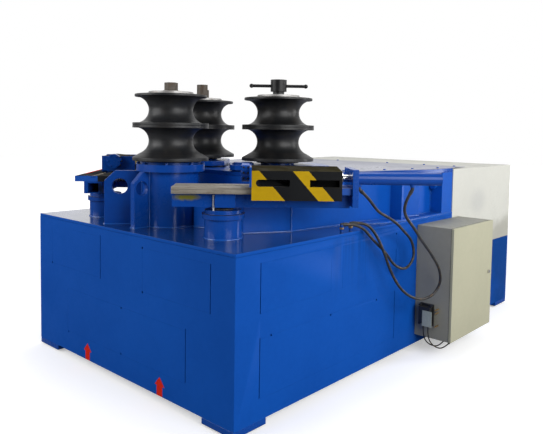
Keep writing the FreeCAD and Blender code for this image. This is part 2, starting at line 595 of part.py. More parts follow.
def make_rollers():
    seat = "(%s + washer_thickness)" % die_top
    places = {"main": ("0", "-main_fwd"), "right": ("side_x", "-side_fwd"), "left": ("-side_x", "-side_fwd")}
    for side, (x, y) in places.items():
        make_die(side + "_lower_die", x, y, 0)
        make_die(side + "_upper_die", x, y, 1)
        make_washer(side + "_washer", x, y)
    make_spindle("main_spindle", "0", "-main_fwd", "journal_radius",
                 "deck_height - deck_thickness - drive_bore_length / 2", "deck_height",
                 collar_z + " + main_rise", seat + " + nut_collar + nut_height")
    bore = "stud_radius + seat_clearance"
    body = hexagon("main_nut_hexagon", "nut_flats / sqrt(3)", "nut_height", "0", "-main_fwd",
                   seat + " + nut_collar")
    collar = rod("main_nut_collar", "nut_collar_radius", "nut_collar", "0", "-main_fwd", seat)
    hole = rod("main_nut_hole", bore, "nut_collar + nut_height", "0", "-main_fwd", seat)
    node("main_nut", cut("main_nut", fused("main_nut_body", [body, collar]), [hole]))

    for side in ("right", "left"):
        x, y = places[side]
        # A side spindle's stud ends inside the nut, under its slot or cross bar.
        make_spindle(side + "_spindle", x, y, "side_journal_radius - running_clearance",
                     sleeve_bottom + " - body_plate", sleeve_bottom + " + collar_gap", collar_z,
                     seat + " + bar_nut_neck")
    slot_nut = rod("slot_nut_body", "slot_nut_radius", "slot_nut_height", "-side_x", "-side_fwd", seat)
    slot = box("slot_nut_slot", "slot_nut_radius + slot_width", "2 * slot_nut_radius", "slot_depth",
               "-slot_width / 2", "-slot_nut_radius", "0")
    place(slot, "-side_x", "-side_fwd - slot_width", seat + " + slot_nut_height - slot_depth", "bar_angle")
    hole = rod("slot_nut_hole", bore, "bar_nut_neck + 1", "-side_x", "-side_fwd", seat)
    node("left_nut", cut("left_nut", slot_nut, [slot, hole]))

    neck = rod("bar_nut_neck_rod", "bar_nut_neck_radius", "bar_nut_neck", "0", "0", "0")
    block = rod("bar_nut_block", "bar_nut_radius", "bar_nut_height", "0", "0", "bar_nut_neck")
    hole = rod("bar_nut_hole", bore, "bar_nut_neck + 1", "0", "0", "0")
    cross = rod("bar_nut_cross", "bar_radius + running_clearance", "3 * bar_nut_radius",
                "-1.5 * bar_nut_radius", "0", "bar_height", "x")
    nut = cut("right_nut", fused("bar_nut_outside", [neck, block]), [hole, cross])
    node("right_nut", place(nut, "side_x", "-side_fwd", seat, "bar_angle"))

    bar = rod("bar_rod", "bar_radius", "bar_length", "-bar_length / 2", "0", "bar_height", "x")
    balls = []
    for sign in ("-", ""):
        ball = doc.addObject("Part::Sphere", "bar_ball" + ("_near" if sign else "_far"))
        bind(ball, "Radius", "bar_ball_radius")
        balls.append(place(ball, sign + "bar_length / 2", "0", "bar_height"))
    t_bar = fused("t_bar", [bar] + balls)
    node("t_bar", place(t_bar, "side_x", "-side_fwd", seat, "bar_angle"))


# Swing arms and the cylinders that push them

def make_arms():
    under = "(deck_height + body_height + arm_lift)"
    top = "(deck_height + body_height + arm_lift + arm_thickness)"
    flat = plate("arm_plate", [
        ("-arm_half_length", "-arm_front + arm_chamfer / 3"),
        ("-arm_half_length + arm_chamfer / 3", "-arm_front"),
        ("arm_half_length - arm_chamfer / 3", "-arm_front"),
        ("arm_half_length", "-arm_front + arm_chamfer / 3"),
        ("arm_half_length", "arm_back - arm_chamfer"), ("arm_half_length - arm_chamfer", "arm_back"),
        ("-arm_half_length + arm_chamfer", "arm_back"), ("-arm_half_length", "arm_back - arm_chamfer")],
        "arm_thickness", z=under)
    sleeve_length = top + " + sleeve_rise - " + sleeve_bottom
    sleeve = rod("arm_sleeve", "sleeve_radius", sleeve_length, "0", "0", sleeve_bottom)
    hub = rod("arm_hub", "hub_radius", "arm_thickness + hub_rise", "-pivot_along", "-pivot_ahead", under)
    upper = fused("arm_upper", [flat, sleeve, hub])
    place(upper, "side_x", "-side_fwd", "0", "arm_angle")
    ear = box("arm_ear", "ear_width", "ear_reach", "ear_thickness", "side_x + ear_side - ear_width / 2",
              "-side_fwd", ear_height)
    tip = rod("arm_ear_tip", "ear_width / 2", "ear_thickness", "side_x + ear_side", "-side_fwd + ear_reach",
              ear_height)
    pin = rod("arm_ear_pin", "ear_pin_radius", "ear_thickness + 2 * ear_pin_rise", "side_x + ear_side",
              "-side_fwd + ear_reach", ear_height + " - ear_pin_rise")
    bore = rod("arm_bore", "side_journal_radius", sleeve_length, "side_x", "-side_fwd", sleeve_bottom)
    eye = rod("arm_pivot_eye", "pivot_radius + running_clearance", "arm_thickness + hub_rise", pivot_x,
              pivot_y, under)
    arm = cut("right_arm_weldment", fused("arm_whole", [upper, ear, tip, pin]), [bore, eye])
    drive = turned("side_drive", [
        ("0", "-side_drive_length - side_motor_length"),
        ("side_motor_radius", "-side_drive_length - side_motor_length"),
        ("side_motor_radius", "-side_drive_length"), ("side_drive_radius", "-side_drive_length"),
        ("side_drive_radius", "0"), ("seat_radius + seat_clearance", "0"),
        ("seat_radius + seat_clearance", "-3 * body_plate"), ("0", "-3 * body_plate")],
        "side_x", "-side_fwd", sleeve_bottom)
    right = node("right_arm", group("right_arm", [arm, drive]))
    node("left_arm", mirrored("left_arm", right))

    seat = "(deck_height + body_height + arm_lift - pin_seat_gap)"
    head = "(arm_thickness + hub_rise + arm_lift)"
    pin_part = turned("pivot_pin", [
        ("0", "deck_height + body_plate"), ("pivot_radius", "deck_height + body_plate"),
        ("pivot_radius", body_top_z), ("pin_shoulder_radius", body_top_z), ("pin_shoulder_radius", seat),
        ("pivot_radius", seat), ("pivot_radius", body_top_z + " + " + head + " + pin_seat_gap"),
        ("pin_cap_radius", body_top_z + " + " + head + " + pin_seat_gap"),
        ("pin_cap_radius", body_top_z + " + " + head + " + pin_seat_gap + pin_cap"),
        ("0", body_top_z + " + " + head + " + pin_seat_gap + pin_cap")], pivot_x, pivot_y)
    eye_low = "(%s + ear_thickness / 2 - rear_eye_thickness / 2)" % ear_height
    rear_pin = turned("rear_pin", [
        ("0", "deck_height + body_plate"), ("rear_shoulder", "deck_height + body_plate"),
        ("rear_shoulder", eye_low + " - pin_seat_gap"), ("rear_pin_radius", eye_low + " - pin_seat_gap"),
        ("rear_pin_radius", eye_low + " + rear_eye_thickness + rear_pin_rise"),
        ("0", eye_low + " + rear_eye_thickness + rear_pin_rise")], "rear_pin_x", rear_pin_back)
    pins = [pin_part, rear_pin]
    node("arm_pins", group("arm_pins", pins + [mirrored(pin.Name + "_left", pin) for pin in pins]))


def make_arm_cylinders():
    # Both halves are laid along +X from the rear pin, then turned to face the arm's ear.
    ear = (values["side_x"] + values["ear_side"], -values["side_fwd"] + values["ear_reach"])
    rear_pin_y = values["base_length"] / 2 - values["rear_bay"] - values["rear_pin_inset"]
    run = (ear[0] - values["rear_pin_x"], ear[1] - rear_pin_y)
    turn = str(math.degrees(math.atan2(run[1], run[0])))
    reach = str(math.hypot(run[0], run[1]))
    axis_z = ear_height + " + ear_thickness / 2"
    end = reach + " - ram_end_gap"
    ram_length = "(" + end + " - ram_start)"

    eye = rod("ram_eye", "rear_eye_radius", "rear_eye_thickness", "0", "0", "-rear_eye_thickness / 2")
    tube = rod("ram_tube", "ram_radius", ram_length, "ram_start", "0", "0", "x")
    bore = rod("ram_bore", "ram_bore_radius", ram_length + " - ram_cap - ram_gland", "ram_start + ram_cap",
               "0", "0", "x")
    gland = rod("ram_gland_hole", "ram_rod_radius + running_clearance", "2 * ram_gland",
                end + " - 1.5 * ram_gland", "0", "0", "x")
    hole = rod("ram_eye_hole", "rear_pin_radius + running_clearance", "rear_eye_thickness", "0", "0",
               "-rear_eye_thickness / 2")
    barrel = cut("right_arm_barrel", fused("ram_outside", [eye, tube]), [bore, gland, hole])
    node("right_arm_barrel", place(barrel, "rear_pin_x", rear_pin_back, axis_z, turn))
    node("left_arm_barrel", mirrored("left_arm_barrel", barrel))

    yoke_x = reach + " - fork_yoke_gap - fork_yoke"
    start = "ram_start + piston_from_cap"
    piston = rod("ram_piston", "ram_bore_radius - running_clearance", "piston_length", start, "0", "0", "x")
    stick = rod("ram_rod", "ram_rod_radius", yoke_x + " - (" + start + ")", start, "0", "0", "x")
    tine_z = "ear_thickness / 2 + fork_gap"
    yoke = box("fork_yoke_block", "fork_yoke", "fork_width", "2 * (%s + fork_tine)" % tine_z, yoke_x,
               "-fork_width / 2", "-(%s + fork_tine)" % tine_z)
    parts = [piston, stick, yoke]
    for side, low in (("upper", tine_z), ("lower", "-(%s + fork_tine)" % tine_z)):
        parts.append(box(side + "_tine", "fork_yoke_gap + fork_yoke", "fork_width", "fork_tine", yoke_x,
                         "-fork_width / 2", low))
        parts.append(rod(side + "_tine_tip", "fork_radius", "fork_tine", reach, "0", low))
    slack = rod("fork_eye", "ear_pin_radius + fork_eye_clearance", "4 * fork_width", reach, "0",
                "-2 * fork_width")
    arm_rod = cut("right_arm_rod", fused("fork_outside", parts), [slack])
    node("right_arm_rod", place(arm_rod, "rear_pin_x", rear_pin_back, axis_z, turn))
    node("left_arm_rod", mirrored("left_arm_rod", arm_rod))


# Guide units at 45 degrees; along each one +X is outwards and +Y is the inner side

def on_guide(thing):
    return place(thing, "guide_x", "-guide_fwd", "deck_height", "guide_angle")


def make_guides():
    length = "(guide_end - guide_front)"
    outer = box("beam_outer", length, "beam_width", "slide_bottom - beam_bottom", "guide_front",
                "-beam_width / 2", "beam_bottom")
    inner = box("beam_inner", length + " + beam_wall", "beam_width - 2 * beam_wall",
                "slide_bottom - beam_bottom", "guide_front - beam_wall",
                "-beam_width / 2 + beam_wall", "beam_bottom - beam_top_wall")
    tube = cut("beam_tube", outer, [inner])
    bracket = box("cylinder_bracket", "bracket_thickness", "bracket_width", "bracket_top - bracket_bottom",
                  "guide_end", "-bracket_width / 2", "bracket_bottom")
    arm = box("bracket_arm_block", "bracket_arm", "bracket_arm_reach - beam_width / 2",
              "bracket_arm_top - apron_height", "bracket_arm_start", "beam_width / 2", "apron_height")
    shoe = box("beam_shoe", "shoe_length", "shoe_depth", "slide_bottom - beam_bottom", "shoe_start",
               "-beam_width / 2 - shoe_depth", "beam_bottom")
    hole = rod("bracket_hole", "rod_radius + running_clearance", "bracket_thickness", "guide_end", "0",
               "barrel_height", "x")
    beam = on_guide(cut("guide_beam", fused("guide_beam_whole", [tube, bracket, arm, shoe]), [hole]))
    node("guide_beams", pair("guide_beams", beam))

    slab = box("slide_slab", length, "slide_width", "slide_thickness", "guide_front", "-slide_width / 2",
               "slide_bottom")
    groove = box("slide_keyway", length, "keyway_width", "keyway_depth", "guide_front", "-keyway_width / 2",
                 "slide_bottom + slide_thickness - keyway_depth")
    node("slide_plates", pair("slide_plates", on_guide(cut("slide_plate", slab, [groove]))))

    post = turned("support_post", [
        ("0", "0"), ("post_radius", "0"), ("post_radius", "post_height"),
        ("post_flange_radius", "post_height"),
        ("post_flange_radius", "post_height + post_flange"), ("post_cap_radius", "post_height + post_flange"),
        ("post_cap_radius", "post_height + post_flange + post_cap"),
        ("0", "post_height + post_flange + post_cap")], post_x, post_y, "deck_height")
    node("support_posts", pair("support_posts", post))

    post_top = "(post_height + post_flange + post_cap)"
    disc = rod("jack_disc_rod", "jack_disc_radius", "jack_disc", post_x, post_y, "deck_height + " + post_top)
    screw = rod("jack_screw_rod", "jack_radius", "beam_bottom - %s" % post_top, post_x, post_y,
                "deck_height + " + post_top)
    stud = rod("jack_stud", "jack_stud_radius", "jack_stud_top - %s" % post_top, post_x + " + jack_stud_out",
               post_y + " - jack_stud_fwd", "deck_height + " + post_top)
    foot = fused("jack_screw", [disc, screw])
    node("jack_screws", group("jack_screws", [foot, stud, mirrored("jack_screw_left", foot),
                                              mirrored("jack_stud_left", stud)]))


def both_hands(name, local):
    # The left unit is the right one turned about Z, not its mirror image.
    for side, x, angle in (("right", "guide_x", "guide_angle"), ("left", "-guide_x", "180 - guide_angle")):
        whole = group("%s_%s" % (side, name), [local])
        node("%s_%s" % (side, name), place(whole, x, "-guide_fwd", "deck_height", angle))


def make_carriages():
    outer = "(slide_width / 2 + gib_gap + gib_thickness)"
    low = "(slide_bottom + slide_thickness + carriage_gap)"
    end = "(carriage_start + carriage_length)"
    block = box("carriage_block", "carriage_length", outer + " + carriage_inner", "carriage_top - " + low,
                "carriage_start", "-" + outer, low)
    gib = box("carriage_gib", "carriage_length - nose_plate", "gib_thickness", low + " - gib_bottom",
              "carriage_start + nose_plate", "-" + outer, "gib_bottom")
    key = box("carriage_key", "carriage_length", "keyway_width - 2 * carriage_gap", "keyway_depth",
              "carriage_start", "-keyway_width / 2 + carriage_gap", low + " - keyway_depth + carriage_gap")
    face_low = low + " + nose_plate_rise"
    face = box("carriage_nose", "nose_plate", "nose_plate_outer + carriage_inner",
               "nose_plate_top - (%s)" % face_low, "carriage_start - nose_plate", "-nose_plate_outer",
               face_low)
    cap_x = "(carriage_start - nose_plate - round_cap_length)"
    cap = rod("round_cap", "round_cap_radius", "round_cap_length", cap_x, "-round_cap_side",
              "round_cap_height", "x")
    parts = [block, gib, key, face, cap]
    for i in range(int(values["round_cap_bolts"])):
        turn = "(%d * 360 / round_cap_bolts)" % i
        parts.append(rod("round_cap_bolt_%d" % i, "round_cap_bolt_radius", "round_cap_bolt_head",
                         cap_x + " - round_cap_bolt_head",
                         "-round_cap_side + round_cap_bolt_circle * cos" + turn,
                         "round_cap_height + round_cap_bolt_circle * sin" + turn, "x"))
    slot_low = "cover_slot_middle - cover_slot_height / 2"
    pockets = []
    for slot in ("front", "rear"):
        pockets.append(box(slot + "_pocket", slot + "_slot_length", "slot_pocket_depth", "cover_slot_height",
                           slot + "_slot_start", "-" + outer, slot_low))
    both_hands("carriage", cut("carriage_whole", fused("carriage_solid", parts), pockets))

    height = "(carriage_top + cover_thickness - cover_bottom)"
    outside = box("cover_outside", "carriage_length", "cover_outer + carriage_inner", height,
                  "carriage_start", "-cover_outer", "cover_bottom")
    inside = box("cover_inside", "carriage_length - 2 * cover_thickness", "cover_outer + 2 * carriage_inner",
                 height + " - cover_thickness", "carriage_start + cover_thickness",
                 "-cover_outer + cover_thickness", "cover_bottom")
    relief = box("cover_relief", "carriage_length + 2 * cover_thickness", "3 * " + outer,
                 "carriage_top + carriage_gap / 3 - cover_bottom", "carriage_start - cover_thickness",
                 "-(%s + carriage_gap)" % outer, "cover_bottom")
    slots = []
    for slot in ("front", "rear"):
        slots.append(box(slot + "_cover_slot", slot + "_slot_length", "2 * cover_thickness",
                         "cover_slot_height",
                         slot + "_slot_start", "-cover_outer - cover_thickness / 2", slot_low))
    slots.append(rod("front_slot_end", "cover_slot_height / 2", "2 * cover_thickness", "front_slot_start",
                     "-cover_outer + 1.5 * cover_thickness", "cover_slot_middle", "y"))
    both_hands("cover", cut("cover_whole", outside, [inside, relief] + slots))

    stick = rod("guide_rod_stick", "rod_radius", "rod_length", end, "0", "barrel_height", "x")
    nut = hexagon("guide_rod_nut", "rod_nut_radius", "rod_nut_length", end, "0", "barrel_height", "x")
    head = rod("guide_rod_head", "barrel_bore_radius - running_clearance", "head_length",
               end + " + rod_length - head_length", "0", "barrel_height", "x")
    ram = on_guide(fused("right_rod", [stick, nut, head]))
    node("right_rod", ram)
    node("left_rod", mirrored("left_rod", ram))

    start = "(guide_end + bracket_thickness)"
    tube = rod("barrel_outside", "barrel_radius", "barrel_length", start, "0", "barrel_height", "x")
    ports = [rod(name, "port_radius", "barrel_radius + port_drop", "%s + %s" % (start, offset), "0",
                 "barrel_height - barrel_radius - port_drop")
             for name, offset in (("rod_port", "rod_port_from_bracket"),
                                  ("cap_port", "cap_port_from_bracket"))]
    bore = rod("barrel_bore", "barrel_bore_radius", "barrel_length - barrel_gland - barrel_cap",
               start + " + barrel_gland", "0", "barrel_height", "x")
    gland = rod("barrel_gland_hole", "rod_radius + running_clearance", "barrel_gland", start, "0",
                "barrel_height", "x")
    barrel = on_guide(cut("guide_barrel", fused("barrel_whole", [tube] + ports), [bore, gland]))
    node("guide_barrels", pair("guide_barrels", barrel))


# Hoses between the deck and the guide cylinder, and their fittings

def direction(azimuth, dip):
    flat = math.cos(math.radians(dip))
    return FreeCAD.Vector(flat * math.cos(math.radians(azimuth)), flat * math.sin(math.radians(azimuth)),
                          -math.sin(math.radians(dip)))


def elbow(x, y, z, azimuth, dip, length):
    # Where the elbow's axis turns, the way that it points, and its mouth.
    turn = FreeCAD.Vector(x, y, z)
    way = direction(azimuth, dip)
    return turn, way, turn + way * length


def elbow_shape(bend, stem_from, stem_radius, arm_radius, sleeve_radius, sleeve_length):
    turn, way, mouth = bend
    ball = Part.makeSphere(stem_radius, turn)
    stem = Part.makeCylinder(stem_radius, (stem_from - turn).Length, turn, stem_from - turn)
    arm = Part.makeCylinder(arm_radius, (mouth - turn).Length, turn, way)
    sleeve = Part.makeCylinder(sleeve_radius, sleeve_length, mouth - way * sleeve_length, way)
    return ball.fuse([stem, arm, sleeve])


def make_fittings(deck, ports):
    stems = [(bend, -values["stem_height"]) for bend in deck]
    stems += [(bend, values["port_elbow_drop"]) for bend in ports]
    shapes = [elbow_shape(bend, bend[0] + FreeCAD.Vector(0, 0, rise), values["stem_radius"],
                          values["elbow_radius"], values["ferrule_radius"], values["ferrule_length"])
              for bend, rise in stems]
    right = doc.addObject("Part::Feature", "right_fittings")
    right.Shape = Part.makeCompound(shapes)
    right.Placement = FreeCAD.Placement()
    node("hose_fittings", pair("hose_fittings", right))


def hose_path(name, points, diameter):
    # Straight runs joined by tangent arcs, each as large as its two runs allow.
    corners = [FreeCAD.Vector(point) for point in points]
    edges = []
    radii = []
    last = corners[0]
    for before, corner, after in zip(corners, corners[1:], corners[2:]):
        into = (corner - before)
        out = (after - corner)
        turn = into.getAngle(out)
        trim = 0.45 * min(into.Length, out.Length)
        radii.append(trim / math.tan(turn / 2))
        into.normalize()
        out.normalize()
        start = corner - into * trim
        end = corner + out * trim
        toward = (out - into).normalize()
        centre = corner + toward * (radii[-1] / math.cos(turn / 2))
        middle = centre - toward * radii[-1]
        edges.append(Part.LineSegment(last, start).toShape())
        edges.append(Part.Arc(start, middle, end).toShape())
        last = end
    edges.append(Part.LineSegment(last, corners[-1]).toShape())
    path = Part.Wire(edges)
    first = corners[1] - corners[0]
    ring = Part.Wire([Part.makeCircle(diameter / 2, corners[0], first)])
    tube = path.makePipeShell([ring], True, False)
    expected = math.pi * diameter ** 2 / 4 * path.Length
    print("%s: length %.0f, smallest radius %.1f, volume over section times length %.4f"
          % (name, path.Length, min(radii), tube.Volume / expected))
    return tube


def make_tube(name, points, diameter):
    tube = doc.addObject("Part::Feature", name)
    tube.Shape = hose_path(name, points, diameter)
    tube.Placement = FreeCAD.Placement()
    return node(name, tube)


def cylinder_port(offset):
    along = values["guide_end"] + values["bracket_thickness"] + values[offset]
    angle = math.radians(values["guide_angle"])
    return values["guide_x"] + along * math.cos(angle), -values["guide_fwd"] + along * math.sin(angle)


def make_hoses():
    stem_top = values["deck_height"] + values["stem_height"]
    under = (values["deck_height"] + values["barrel_height"] - values["barrel_radius"] - values["port_drop"]
             - values["port_elbow_drop"])
    deck = [elbow(values["base_width"] / 2 - values[port + "_inset"], -values[port + "_fwd"], stem_top,
                  values["deck_elbow_azimuth"], 0, values["deck_elbow_length"])
            for port in ("first_port", "second_port")]
    ports = [elbow(*cylinder_port(side + "_port_from_bracket"), under, values[side + "_elbow_azimuth"],
                   values[side + "_elbow_dip"], values[side + "_elbow_length"]) for side in ("rod", "cap")]
    make_fittings(deck, ports)
    routes = (
        ("rod", (
            (1112, -624, 922), (1118, -490, 833), (1123, -381, 721), (1145, -252, 675), (1158, -158, 757),
            (1145, -179, 880), (1159, -328, 965), (1182, -452, 1030), (1191, -578, 1085),
            (1194, -720, 1136))),
        ("cap", (
            (1097, -640, 1018), (1140, -577, 897), (1169, -488, 684), (1197, -371, 542), (1228, -207, 465),
            (1253, -84, 471), (1275, -30, 516), (1295, -17, 586), (1305, -64, 683), (1316, -185, 783),
            (1339, -325, 873), (1370, -479, 956), (1422, -647, 1044), (1411, -766, 1143))),
    )
    for (side, between), start, end in zip(routes, deck, ports):
        first = start[2] + start[1] * values[side + "_hose_first_run"]
        last = end[2] + end[1] * values[side + "_hose_last_run"]
        make_tube(side + "_side_hose", [start[2], first, *between, last, end[2]], values["hose_diameter"])


# Electrical cabinet on the right side of the base

wall_x = half_width
mouth_x = "(base_width / 2 + cabinet_depth - door_depth)"


def make_cabinet():
    outer = box("case_outer", "cabinet_depth - door_depth - door_gap", "cabinet_width", "cabinet_height",
                wall_x, "cabinet_front_back", "cabinet_bottom")
    inner = box("case_inner", "cabinet_depth", "cabinet_width - 2 * cabinet_sheet",
                "cabinet_height - 2 * cabinet_sheet", wall_x + " + cabinet_sheet",
                "cabinet_front_back + cabinet_sheet", "cabinet_bottom + cabinet_sheet")
    node("cabinet_case", cut("cabinet_case", outer, [inner]))

    door_outer = box("door_outer", "door_depth", "cabinet_width", "cabinet_height", mouth_x,
                     "cabinet_front_back", "cabinet_bottom")
    door_inner = box("door_inner", "door_depth - cabinet_sheet", "cabinet_width - 2 * cabinet_sheet",
                     "cabinet_height - 2 * cabinet_sheet", mouth_x, "cabinet_front_back + cabinet_sheet",
                     "cabinet_bottom + cabinet_sheet")
    lock_y = "(cabinet_front_back + cabinet_width - lock_inset)"
    hole = rod("door_lock_hole", "lock_radius", "3 * cabinet_sheet",
               mouth_x + " + door_depth - 2 * cabinet_sheet", lock_y, "lock_height", "x")
    node("cabinet_door", cut("cabinet_door", door_outer, [door_inner, hole]))

    cam_x = mouth_x + " + 4 * cabinet_sheet / 3"
    stem = rod("lock_stem", "lock_radius - lock_clearance",
               "door_depth - 4 * cabinet_sheet / 3 + door_gap", cam_x, lock_y, "lock_height", "x")
    head = rod("lock_head_disc", "lock_head_radius", "lock_head", mouth_x + " + door_depth + door_gap",
               lock_y, "lock_height", "x")
    cam = box("lock_cam", "cam_thickness", "cam_length", "cam_width", cam_x, lock_y,
              "lock_height - cam_width / 2")
    node("door_lock", fused("door_lock", [stem, head, cam]))

    make_control_gear()

    flange_x = wall_x + " + plug_from_wall"
    body_x = flange_x + " + (plug_flange_width - plug_width) / 2"
    body_z = "plug_bottom + (plug_flange_height - plug_height) / 2"
    flange = box("plug_flange", "plug_flange_width", "plug_flange_depth", "plug_flange_height", flange_x,
                 "cabinet_front_back - plug_flange_depth", "plug_bottom")
    hood = box("plug_hood", "plug_width", "plug_depth", "plug_height", body_x,
               "cabinet_front_back - plug_flange_depth - plug_depth", body_z)
    parts = [flange, hood]
    for i, x in enumerate(("plug_peg_inset", "plug_flange_width - plug_peg_inset")):
        for j, z in enumerate(("plug_peg_inset", "plug_flange_height - plug_peg_inset")):
            parts.append(rod("plug_peg_%d%d" % (i, j), "plug_peg_radius", "plug_peg_length",
                             flange_x + " + " + x,
                             "cabinet_front_back - plug_flange_depth", "plug_bottom + " + z, "y"))
    for stub in ("first_stub", "second_stub"):
        parts.append(rod(stub, "plug_stub_radius", "plug_stub", body_x + " + %s_out" % stub,
                         "cabinet_front_back - plug_stub_depth", body_z + " - plug_stub"))
    plug = fused("cabinet_plug", parts)

    rim_height = (values["plug_flange_height"] - values["plug_height"]) / 2
    rim_width = (values["plug_flange_width"] - values["plug_width"]) / 2
    stub_low = values["plug_bottom"] + rim_height - values["plug_stub"]
    left = values["base_width"] / 2 + values["plug_from_wall"] + rim_width
    front = values["cabinet_front_back"] - values["plug_stub_depth"]
    glands = []
    leads = (
        ("first_lead", "first_stub", "first_gland", ((0, 58), (16, 116), (62, 158)), 58),
        ("second_lead", "second_stub", "second_gland", ((0, 58), (14, 116), (54, 158)), 58),
    )
    for name, stub, gland, profile, last_run in leads:
        start = FreeCAD.Vector(left + values[stub + "_out"], front, stub_low)
        top = FreeCAD.Vector(values["base_width"] / 2 + values[gland + "_out"],
                             values["cabinet_front_back"] + values[gland + "_back"], values["cabinet_bottom"])
        across = math.degrees(math.atan2(start.y - top.y, start.x - top.x))
        bend = elbow(top.x, top.y, top.z - values["gland_drop"], across, values["gland_tilt"],
                     values["gland_arm"])
        glands.append(elbow_shape(bend, top, values["gland_radius"], values["gland_arm_radius"],
                                  values["gland_radius"], values["gland_sleeve"]))
        away = direction(across + 180, 0)
        points = [start] + [start + away * out - FreeCAD.Vector(0, 0, drop) for out, drop in profile]
        make_tube(name, points + [bend[2] + bend[1] * last_run, bend[2]], values["lead_diameter"])
    cable_glands = doc.addObject("Part::Feature", "cable_glands")
    cable_glands.Shape = Part.makeCompound(glands)
    cable_glands.Placement = FreeCAD.Placement()
    node("cabinet_connector", group("cabinet_connector", [plug, cable_glands]))


# Each kind of box on the mounting plate: count, pitch, depth, width, height, place across and place up.
control_items = (
    ("drive_unit", 1, 0, 120, 240, 280, 20, 440),
    ("contactor", 5, 58, 80, 50, 88, 300, 560),
    ("breaker", 7, 40, 70, 34, 80, 300, 670),
    ("terminal_strip", 1, 0, 45, 560, 50, 20, 40),
    ("transformer", 1, 0, 105, 160, 140, 40, 160),
    ("logic_unit", 1, 0, 90, 300, 120, 280, 300),
)


def make_control_gear():
    plate_x = wall_x + " + cabinet_sheet + gear_standoff"
    left = "(cabinet_front_back + gear_plate_margin)"
    low = "(cabinet_bottom + gear_plate_margin)"
    parts = [box("gear_plate_sheet", "gear_plate", "cabinet_width - 2 * gear_plate_margin",
                 "cabinet_height - 2 * gear_plate_margin", plate_x, left, low)]
    for i, y in enumerate(("standoff_inset", "cabinet_width - 2 * gear_plate_margin - standoff_inset")):
        for j, z in enumerate(("standoff_inset", "cabinet_height - 2 * gear_plate_margin - standoff_inset")):
            parts.append(rod("gear_standoff_%d%d" % (i, j), "standoff_radius", "gear_standoff",
                             wall_x + " + cabinet_sheet", left + " + " + y, low + " + " + z, "x"))
    plate_front = plate_x + " + gear_plate"
    for name, count, pitch, depth, width, height, across, up in control_items:
        for i in range(int(count)):
            parts.append(box("%s_%d" % (name, i), depth, width, height, plate_front,
                             "%s + %d" % (left, across + i * pitch), "%s + %d" % (low, up)))
    node("control_gear", fused("control_gear", parts))


# Hydraulic power pack under the rear hood

def make_power_pack():
    floor_z = "(panel_edge + floor_thickness)"
    tank_x = "(tank_side_gap - base_width / 2)"
    tank_y = "(%s + tank_gap)" % body_back
    outer = box("tank_outer", "tank_width", "tank_length", "tank_height", tank_x, tank_y, floor_z)
    inner = box("tank_inner", "tank_width - 2 * tank_wall", "tank_length - 2 * tank_wall",
                "tank_height - 2 * tank_wall", tank_x + " + tank_wall", tank_y + " + tank_wall",
                floor_z + " + tank_wall")
    lid = box("tank_lid_plate", "tank_width + 2 * tank_lid_lip", "tank_length + 2 * tank_lid_lip", "tank_lid",
              tank_x + " - tank_lid_lip", tank_y + " - tank_lid_lip", floor_z + " + tank_height")
    node("hydraulic_tank", fused("hydraulic_tank", [cut("tank_shell", outer, [inner]), lid]))

    axis = "(panel_edge + floor_thickness + motor_axis)"
    stages = [("fan_cowl", "fan_cowl_radius", "fan_cowl_length"),
              ("motor_body", "motor_body_radius", "motor_body_length"),
              ("bell_housing", "bell_radius", "bell_length"), ("pump_body", "pump_radius", "pump_length")]
    parts = []
    motor_y = "(%s + motor_gap)" % body_back
    reach = motor_y
    for name, radius, length in stages:
        reach = "%s + %s" % (reach, length)
        parts.append(rod(name, radius, length, "motor_x", reach, axis, "y"))
    parts.append(box("motor_foot_block", "motor_foot_width", "motor_body_length - 4 * motor_foot",
                     "motor_axis",
                     "motor_x - motor_foot_width / 2", motor_y + " + fan_cowl_length + 2 * motor_foot",
                     floor_z))
    node("pump_motor", fused("pump_motor", parts))

    lid_z = floor_z + " + tank_height + tank_lid"
    manifold_x = "(%s + tank_width / 2 - manifold_length / 2)" % tank_x
    manifold_y = "(%s + tank_length / 2 - manifold_width / 2)" % tank_y
    blocks = [box("manifold_block", "manifold_length", "manifold_width", "manifold_height", manifold_x,
                  manifold_y, lid_z)]
    for i in range(int(values["valve_count"])):
        valve_x = "%s + (%d + 0.5) * manifold_length / valve_count - valve_width / 2" % (manifold_x, i)
        blocks.append(box("valve_%d" % i, "valve_width", "valve_length", "valve_height", valve_x,
                          tank_y + " + tank_length / 2 - valve_length / 2", lid_z + " + manifold_height"))
    node("valve_block", fused("valve_block", blocks))


make_base()
arm_slots = make_arm_slot()
make_deck(arm_slots)
make_hood()
make_body(arm_slots)
make_cover()
make_main_housing()
make_main_drive()
make_lugs()
make_rollers()
make_arms()
make_arm_cylinders()
make_guides()
make_carriages()
make_hoses()
make_cabinet()
make_power_pack()
doc.recompute()

# Nothing is written unless every object has recomputed and every node is sound.
for thing in doc.Objects:
    if "Invalid" in thing.State or "Error" in thing.State:
        raise RuntimeError("%s failed: %s" % (thing.Name, thing.State))
for name, thing in nodes.items():
    if thing.Shape.isNull() or not thing.Shape.isValid() or not thing.Shape.Solids:
        raise RuntimeError("%s has no sound solid" % name)
for name in nodes:
    if name.endswith("_die"):
        grooved, plain = nodes[name].Shape.Volume, doc.getObject(name + "_turn").Shape.Volume
        if not grooved < plain:
            raise RuntimeError("%s has no groove" % name)

os.makedirs("parts", exist_ok=True)
for name, thing in nodes.items():
    thing.Shape.exportStep("parts/%s.step" % name)
print("%d nodes written" % len(nodes))
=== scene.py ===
import json
import math
import random

